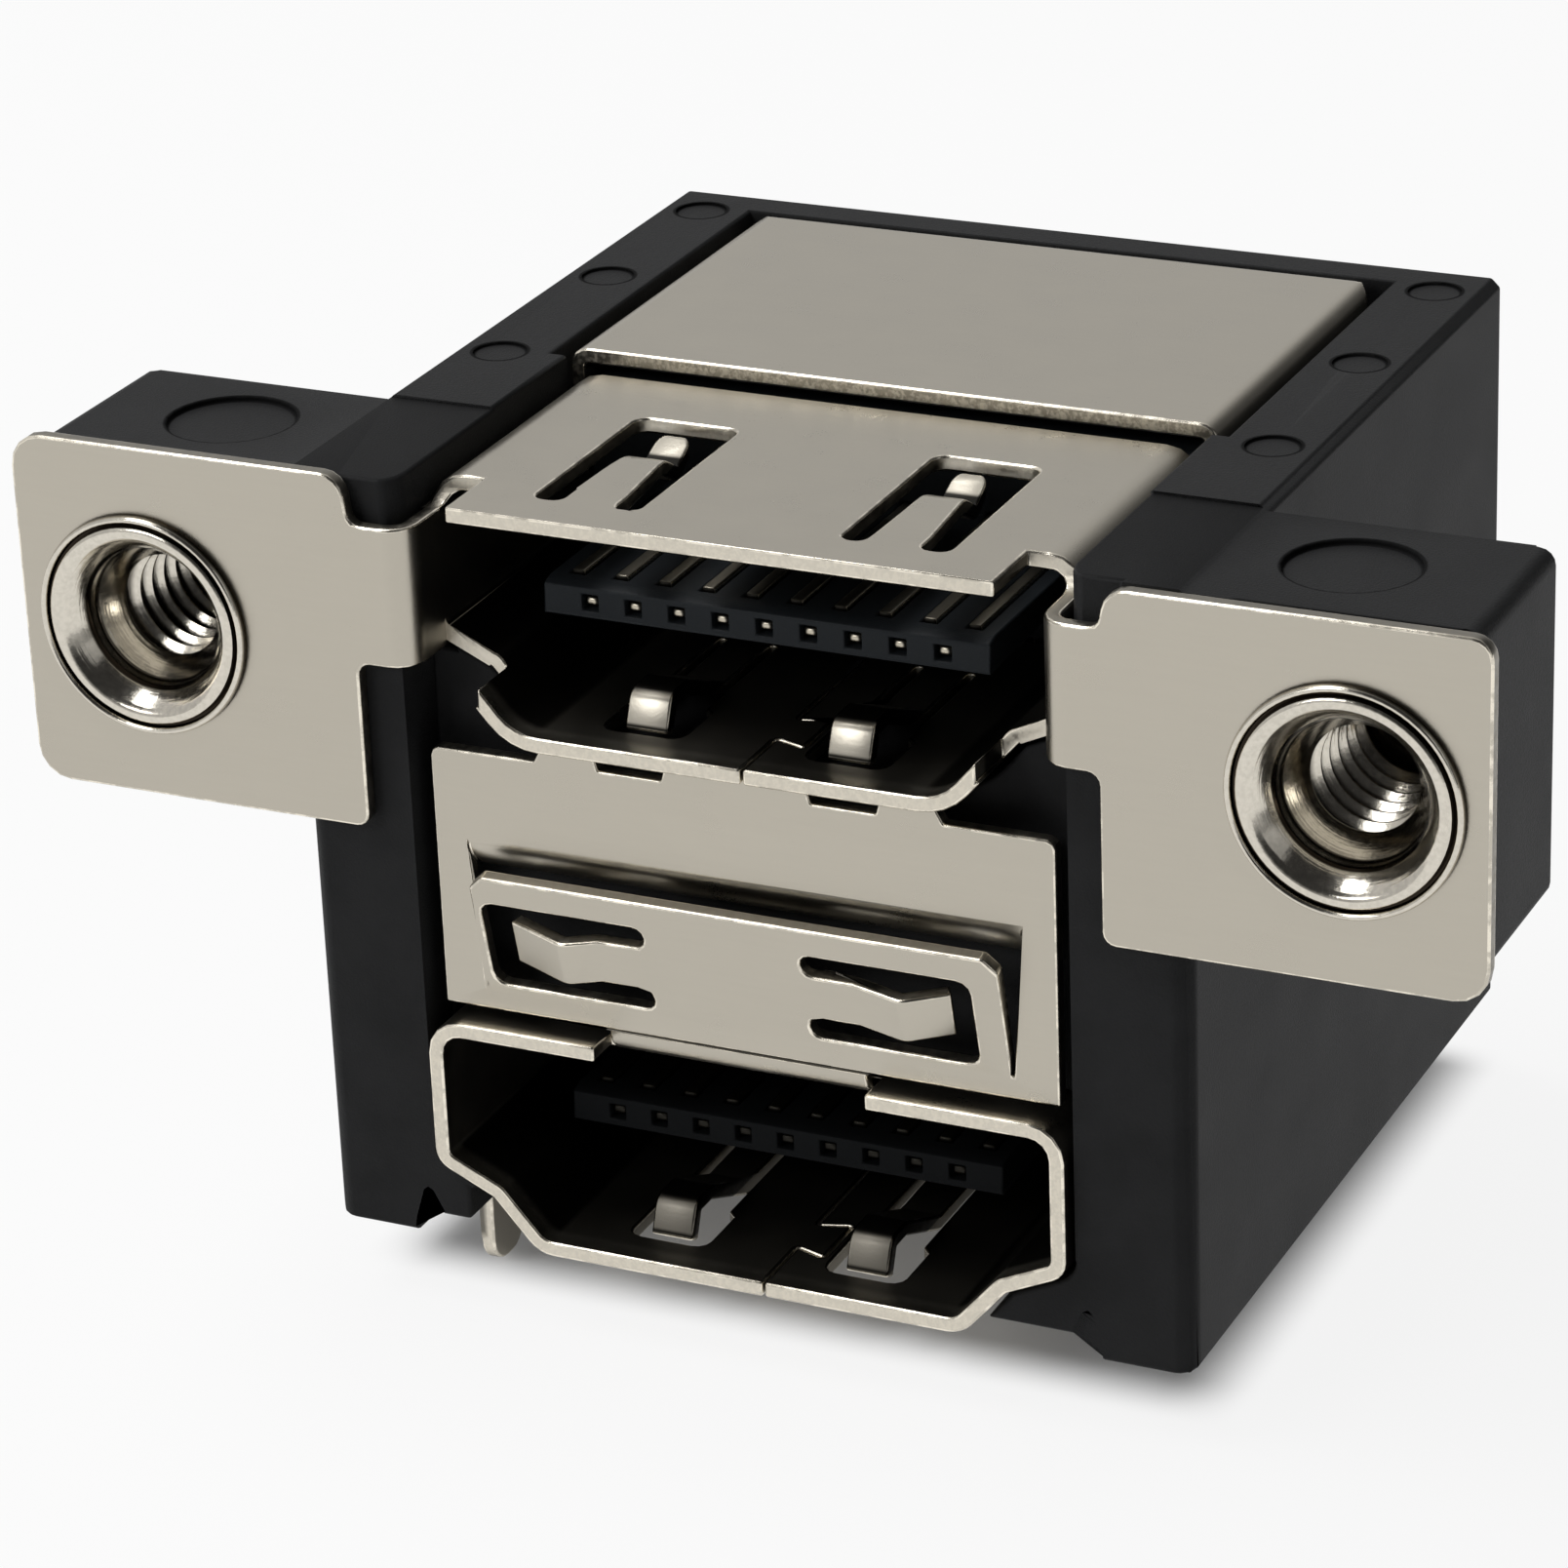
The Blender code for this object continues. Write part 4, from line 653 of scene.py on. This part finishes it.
def room_beside(edge):
    """The narrower of the two faces' reach away from an edge."""
    start, end = (vert.co for vert in edge.verts)
    along = (end - start).normalized()
    reaches = []
    for face in edge.link_faces:
        offsets = (vert.co - start for vert in face.verts)
        reaches.append(max((offset - offset.dot(along) * along).length for offset in offsets))
    return min(reaches)


def weigh_edges(piece, width):
    """Marks the sharp edges for rounding, less where a narrow step leaves no room for it."""
    work = bmesh.new()
    work.from_mesh(piece.data)
    weights = work.edges.layers.float.new("bevel_weight_edge")
    for edge in work.edges:
        if len(edge.link_faces) == 2 and edge.calc_face_angle(0.0) > SHARP_ANGLE:
            share = min(1.0, room_beside(edge) / (ROOM_FOR_ROUNDING * width))
            edge[weights] = share if share > LEAST_ROUNDING else 0.0
    work.to_mesh(piece.data)
    work.free()


def crowded_corners(piece, surface, width):
    """Places where the rounding would throw a point off the piece's own surface."""
    rounded = piece.evaluated_get(bpy.context.evaluated_depsgraph_get()).data
    limit = OFF_THE_SURFACE * width
    far = {
        point.index
        for point in rounded.vertices
        if surface.find_nearest(point.co)[3] > limit
    }
    beside = set()
    for edge in rounded.edges:
        first, second = edge.vertices
        if first in far and second not in far:
            beside.add(second)
        if second in far and first not in far:
            beside.add(first)
    return [rounded.vertices[index].co.copy() for index in beside]


def spare_corners(piece, corners, reach):
    """Leaves the edges at these places sharp."""
    points = piece.data.vertices
    weights = piece.data.attributes["bevel_weight_edge"].data
    for edge in piece.data.edges:
        ends = [points[index].co for index in edge.vertices]
        if any((end - corner).length < reach for end in ends for corner in corners):
            weights[edge.index].value = 0.0


def rounded_edges(piece, width, segments=3, finish_slot=-1):
    """Rounds the sharp edges, where there is room, and shades the flat faces flat."""
    weigh_edges(piece, width)
    pick(piece)
    surface = BVHTree.FromObject(piece, bpy.context.evaluated_depsgraph_get())
    edge = piece.modifiers.new("rounded edges", "BEVEL")
    edge.width = width
    edge.segments = segments
    edge.limit_method = "WEIGHT"
    edge.material = finish_slot
    edge.use_clamp_overlap = False
    for _ in range(ROUNDING_TRIES):
        corners = crowded_corners(piece, surface, width)
        if not corners:
            break
        spare_corners(piece, corners, SPARED_REACH * width)
    bpy.ops.object.modifier_apply(modifier=edge.name)
    bpy.ops.object.shade_smooth_by_angle(angle=SMOOTH_ANGLE)
    flat = piece.modifiers.new("flat faces", "WEIGHTED_NORMAL")
    flat.keep_sharp = True
    bpy.ops.object.modifier_apply(modifier=flat.name)


def mark_cut_faces(piece, thickness):
    """Gives a sheet's sheared edges their own slot: behind them lies more than its thickness."""
    surface = BVHTree.FromObject(piece, bpy.context.evaluated_depsgraph_get())
    mesh = piece.data
    mesh.calc_loop_triangles()
    widest = {}
    for triangle in mesh.loop_triangles:
        if triangle.area > widest.get(triangle.polygon_index, (0.0, None))[0]:
            widest[triangle.polygon_index] = (triangle.area, triangle)
    for index, (_, triangle) in widest.items():
        middle = sum((mesh.vertices[i].co for i in triangle.vertices), Vector()) / 3
        inward = -mesh.polygons[index].normal
        behind = surface.ray_cast(middle + inward * 0.02 * MM, inward)[3]
        if behind is not None and behind > DEEPER_THAN_SHEET * thickness:
            mesh.polygons[index].material_index = CUT_SLOT


def keep(piece, finishes, slot, *nodes):
    """Gives a finished piece its materials and its body, and hides the solids that it stands for.
    """
    piece.data.materials.clear()
    for name in finishes.split():
        piece.data.materials.append(finish_called(name))
    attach(piece, "root")
    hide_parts(*nodes)


class PieceOperator:
    """What the operators of this socket share."""

    bl_options = {"REGISTER", "UNDO"}


class SOCKET_OT_shells(PieceOperator, bpy.types.Operator):
    """Folded shells of both ports and the cap over the rear, with rounded edges"""

    bl_idname = "socket.shells"
    bl_label = "Shells and cap"

    def execute(self, context):
        for node in SHELLS:
            piece = lifted_copy(node, f"{node}_folded")
            for _ in SHELL_FINISHES.split():
                piece.data.materials.append(None)
            mark_cut_faces(piece, SHEET * MM)
            rounded_edges(piece, settings("edges").sheet, finish_slot=EDGE_SLOT)
            faces = [face.material_index for face in piece.data.polygons]
            keep(piece, SHELL_FINISHES, "nickel_plate", node)
            piece.data.polygons.foreach_set("material_index", faces)
        return {"FINISHED"}


class SOCKET_OT_housing(PieceOperator, bpy.types.Operator):
    """Black moulded housing and the aligner under it, with softened edges"""

    bl_idname = "socket.housing"
    bl_label = "Housing and aligner"

    def execute(self, context):
        piece = lifted_copy("housing", "housing_moulded")
        rounded_edges(piece, settings("edges").moulding)
        keep(piece, "housing_finish", "black_moulding", "housing")
        frame["nodes"]["tail_aligner"].material_slots[0].material = finish_called("housing_finish")
        return {"FINISHED"}


def slant_tongue(piece, low, high):
    """Cuts the two long lower edges of the tongue at a slant; low and high are its box."""
    pick(piece)
    bpy.ops.object.mode_set(mode="EDIT")
    bpy.ops.mesh.select_mode(type="EDGE")
    bpy.ops.mesh.select_all(action="DESELECT")
    bpy.ops.object.mode_set(mode="OBJECT")
    points = piece.data.vertices
    for edge in piece.data.edges:
        first, second = (points[index].co for index in edge.vertices)
        middle = (first + second) / 2
        along = abs((second - first).normalized().y) > 0.99
        on_side = abs(abs(middle.x) - TONGUE_HALF_WIDTH * MM) < 0.01 * MM
        in_front = middle.y < low.y + TONGUE_REACH * MM
        edge.select = along and on_side and in_front and middle.z < (low.z + high.z) / 2
    bpy.ops.object.mode_set(mode="EDIT")
    bpy.ops.mesh.bevel(offset=TONGUE_SLANT * MM, segments=1)
    bpy.ops.mesh.select_mode(type="VERT")
    bpy.ops.object.mode_set(mode="OBJECT")


class SOCKET_OT_carriers(PieceOperator, bpy.types.Operator):
    """Contact carriers with their tongues"""

    bl_idname = "socket.carriers"
    bl_label = "Contact carriers"

    def execute(self, context):
        for node in CARRIERS:
            piece = lifted_copy(node, f"{node}_moulded")
            slant_tongue(piece, *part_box(node))
            rounded_edges(piece, settings("edges").tongue)
            keep(piece, "tongue_finish", "tongue_moulding", node)
        return {"FINISHED"}


class SOCKET_OT_contacts(PieceOperator, bpy.types.Operator):
    """Contacts with the rounded corners of stamped wire"""

    bl_idname = "socket.contacts"
    bl_label = "Contacts"

    def execute(self, context):
        for node in CONTACTS:
            piece = lifted_copy(node, f"{node}_formed")
            rounded_edges(piece, settings("edges").contact, segments=2)
            keep(piece, "contact_finish", "contact_plating", node)
        return {"FINISHED"}


def bead_ring(turn, proud):
    """Ring on the half-round bead of an insert's rim, at this turn in degrees."""
    angle = math.radians(turn)
    return (
        BEAD_MIDDLE - BEAD_HALF_WIDTH * math.cos(angle),
        -BEAD_FOOT - (proud - BEAD_FOOT) * math.sin(angle),
    )


def insert_rings(proud, rear):
    """Rings of an insert as (radius, depth behind the flange's face) in mm, rear to bore."""
    body = [
        (CORE_RADIUS, rear),
        (END_RADIUS, rear),
        (BODY_RADIUS, rear - END_CHAMFER),
        (BODY_RADIUS, NECK_REAR),
        (NECK_RADIUS, NECK_REAR),
        (NECK_RADIUS, RIM_BACK),
        (RIM_RADIUS, RIM_BACK),
    ]
    bead = [bead_ring(turn, proud) for turn in range(180, -1, -20)]
    lip = [
        (2.3, 0.0),
        (2.24, 0.0),
        (2.22, 0.05 - proud),
        (2.18, 0.015 - proud),
        (2.1, 0.01 - proud),
        (2.03, 0.025 - proud),
    ]
    funnel = [
        (1.97, 0.06 - proud),
        (1.9, 0.12 - proud),
        (1.66, 0.24),
        (1.63, 0.3),
        (1.59, 0.36),
        (1.57, 0.42),
    ]
    bore = [
        (1.55, 0.62),
        (1.53, 0.66),
        (1.16, 1.12),
        (1.15, 1.2),
        (1.43, 1.28),
        (1.43, rear - END_WALL),
        (CORE_RADIUS, rear - END_WALL),
    ]
    return body + bead + lip + funnel + bore


def close_ends(sides, angle):
    """Fills the open ends of the mesh in edit mode, turns its faces outward and shades it."""
    bpy.ops.mesh.select_all(action="SELECT")
    bpy.ops.mesh.fill_holes(sides=sides)
    bpy.ops.mesh.select_all(action="SELECT")
    bpy.ops.mesh.normals_make_consistent(inside=False)
    bpy.ops.object.mode_set(mode="OBJECT")
    bpy.ops.object.shade_smooth_by_angle(angle=angle)


def turned_body(name, centre, rings):
    """Body of revolution round the Y axis, extruded ring by ring and closed at both ends."""
    radius, depth = (value * MM for value in rings[0])
    bpy.ops.object.select_all(action="DESELECT")
    bpy.ops.mesh.primitive_circle_add(
        vertices=settings("thread").sides,
        radius=radius,
        location=(centre[0], centre[1] + depth, centre[2]),
        rotation=(math.radians(90), 0.0, 0.0),
    )
    piece = bpy.context.active_object
    piece.name = name
    bpy.ops.object.transform_apply(location=True, rotation=True, scale=True)
    bpy.ops.object.mode_set(mode="EDIT")
    bpy.ops.mesh.select_all(action="SELECT")
    for ring in rings[1:]:
        wider, deeper = (value * MM for value in ring)
        bpy.ops.mesh.extrude_edges_move(
            TRANSFORM_OT_translate={"value": (0.0, deeper - depth, 0.0)}
        )
        scale = wider / radius
        bpy.ops.transform.resize(
            value=(scale, 1.0, scale), center_override=(centre[0], centre[1] + deeper, centre[2])
        )
        radius, depth = wider, deeper
    close_ends(0, SMOOTH_ANGLE)
    return piece


def cut_thread(name, centre):
    """Helical ridge of a thread: one section swept round the Y axis and closed at both ends."""
    chosen = settings("thread")
    start, crest, root = (value * MM for value in (THREAD_START, THREAD_CREST, THREAD_ROOT))
    bpy.ops.object.select_all(action="DESELECT")
    bpy.ops.mesh.primitive_plane_add(size=1.0, location=(centre[0], centre[1] + start, centre[2]))
    piece = bpy.context.active_object
    piece.name = name
    bpy.ops.object.mode_set(mode="EDIT")
    bpy.ops.mesh.select_all(action="SELECT")
    bpy.ops.transform.resize(value=(root - crest, chosen.pitch * THREAD_FILL, 1.0))
    bpy.ops.transform.translate(value=((root + crest) / 2, 0.0, 0.0))
    bpy.ops.mesh.delete(type="ONLY_FACE")
    bpy.ops.object.mode_set(mode="OBJECT")
    for vert in piece.data.vertices:
        if vert.co.x < (root + crest) / 2:
            vert.co.y *= THREAD_CREST_SHARE
    sweep = piece.modifiers.new("thread", "SCREW")
    sweep.axis = "Y"
    sweep.screw_offset = chosen.pitch
    sweep.iterations = chosen.turns
    sweep.steps = THREAD_STEPS
    sweep.render_steps = THREAD_STEPS
    pick(piece)
    bpy.ops.object.modifier_apply(modifier=sweep.name)
    bpy.ops.object.transform_apply(location=True, rotation=True, scale=True)
    bpy.ops.object.mode_set(mode="EDIT")
    close_ends(4, THREAD_SMOOTH_ANGLE)
    return piece


class SOCKET_OT_inserts(PieceOperator, bpy.types.Operator):
    """Turned inserts: beaded rim, flared mouth, counterbore and thread"""

    bl_idname = "socket.inserts"
    bl_label = "Threaded inserts"

    def execute(self, context):
        for node in INSERTS:
            low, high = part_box(node)
            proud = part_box("upper_shell")[0].y - low.y
            centre = ((low.x + high.x) / 2, low.y + proud, (low.z + high.z) / 2)
            rings = insert_rings(proud / MM, (high.y - centre[1]) / MM)
            body = turned_body(f"{node}_turned", centre, rings)
            thread = cut_thread("thread", centre)
            pick(thread, body)
            bpy.ops.object.join()
            keep(body, "turned_finish", "turned_nickel", node)
        return {"FINISHED"}


# Studio

def lamp(name, place, size, power):
    """Rectangular lamp that points at the socket."""
    bpy.ops.object.light_add(type="AREA", location=place)
    made = bpy.context.active_object
    made.name = name
    made.data.shape = "RECTANGLE"
    made.data.size, made.data.size_y = size
    made.data.energy = power
    made.rotation_euler = (Vector(LAMP_AIM) - Vector(place)).to_track_quat("-Z", "Y").to_euler()


def studio_room(strength):
    """Even room light with two dark sides for contrast in the metal; the camera sees it white."""
    world = bpy.data.worlds.new("studio_room")
    bpy.context.scene.world = world
    room = Tree(world)
    aim = room.node("ShaderNodeTexCoord").outputs["Generated"]
    level = strength
    for side, start, end, left in DARK_SIDES:
        choices = {"operation": "DOT_PRODUCT"}
        near = room.node("ShaderNodeVectorMath", choices, {0: aim, 1: Vector(side).normalized()})
        level = level * (1.0 - Value(room, near.outputs["Value"]).rise(start, end) * (1.0 - left))
    seen = Value(room, room.node("ShaderNodeLightPath").outputs["Is Camera Ray"])
    light = room.node(
        "ShaderNodeBackground", {}, {"Color": (1.0, 1.0, 1.0), "Strength": level.most(seen)}
    )
    room.node("ShaderNodeOutputWorld", {}, {"Surface": light.outputs[0]})


def pale_floor():
    """Floor that looks white and keeps a soft shadow of the socket, deepened by a painted shadow
    where it lies under the socket.
    """
    bpy.ops.mesh.primitive_plane_add(size=FLOOR_SIZE, location=(0.0, 0.0, FLOOR_HEIGHT))
    floor = bpy.context.active_object
    floor.name = "studio_floor"
    made = Finish("studio_white", Base_Color=(0.85, 0.85, 0.85), Roughness=0.9)
    rays = made.node("ShaderNodeLightPath").outputs
    camera, glossy, through = (
        Value(made, rays[f"Is {kind} Ray"]) for kind in ("Camera", "Glossy", "Transmission")
    )
    x, y, _ = made.place()
    # Painted shadow: the floor glows less under the socket, so it is darker there on top of its
    # real shadow
    under = abs(x).fall(8.5, 10.5) * y.within(-8.5, -6.5, 9.0, 10.5)
    share = camera.most(glossy).most(through) * (0.88 - under * 0.8)
    glow = made.node("ShaderNodeEmission", {}, {"Color": (1.0, 1.0, 1.0), "Strength": 1.0})
    mixed = made.node(
        "ShaderNodeMixShader", {}, {0: share, 1: made.shader.outputs[0], 2: glow.outputs[0]}
    )
    made.feed(made.end.inputs["Surface"], mixed.outputs[0])
    floor.data.materials.append(made.material)


class SOCKET_OT_stage(PieceOperator, bpy.types.Operator):
    """White floor, soft lamps and the camera"""

    bl_idname = "socket.stage"
    bl_label = "Stage"

    def execute(self, context):
        chosen = settings("stage")
        scene = context.scene
        pale_floor()
        studio_room(chosen.surroundings)
        for name, place, size in LAMPS:
            lamp(f"{name}_lamp", place, size, getattr(chosen, name))
        bpy.ops.object.camera_add(
            location=[part * MM for part in CAMERA_PLACE],
            rotation=[math.radians(turn) for turn in CAMERA_TURNS],
        )
        camera = context.active_object
        camera.name = "photo_camera"
        camera.data.lens = chosen.lens
        camera.data.sensor_width = 36.0
        camera.data.clip_start = 0.01
        scene.camera = camera
        scene.view_settings.view_transform = "Standard"
        return {"FINISHED"}


class SOCKET_PT_panel(bpy.types.Panel):
    """Sidebar panel with the pieces and settings of the socket"""

    bl_idname = "SOCKET_PT_panel"
    bl_label = "Socket"
    bl_space_type = "VIEW_3D"
    bl_region_type = "UI"
    bl_category = "Socket"

    def draw(self, context):
        for made in OPERATORS:
            self.layout.operator(made.bl_idname)
        for name, group in GROUPS.items():
            box = self.layout.box()
            box.label(text=name.capitalize())
            for key in group.__annotations__:
                box.prop(settings(name), key)


GROUPS = {
    "edges": EdgeSettings,
    "finish": FinishSettings,
    "thread": ThreadSettings,
    "stage": StageSettings,
}
OPERATORS = (
    SOCKET_OT_shells,
    SOCKET_OT_housing,
    SOCKET_OT_carriers,
    SOCKET_OT_contacts,
    SOCKET_OT_inserts,
    SOCKET_OT_stage,
)


def register():
    for made in (*GROUPS.values(), *OPERATORS, SOCKET_PT_panel):
        bpy.utils.register_class(made)
    for name, group in GROUPS.items():
        setattr(bpy.types.Scene, f"socket_{name}", bpy.props.PointerProperty(type=group))


def unregister():
    for name in GROUPS:
        delattr(bpy.types.Scene, f"socket_{name}")
    for made in reversed((*GROUPS.values(), *OPERATORS, SOCKET_PT_panel)):
        bpy.utils.unregister_class(made)


def main():
    register()
    bpy.ops.socket.shells()
    bpy.ops.socket.housing()
    bpy.ops.socket.carriers()
    bpy.ops.socket.contacts()
    bpy.ops.socket.inserts()
    bpy.ops.socket.stage()


if __name__ == "__main__":
    main()
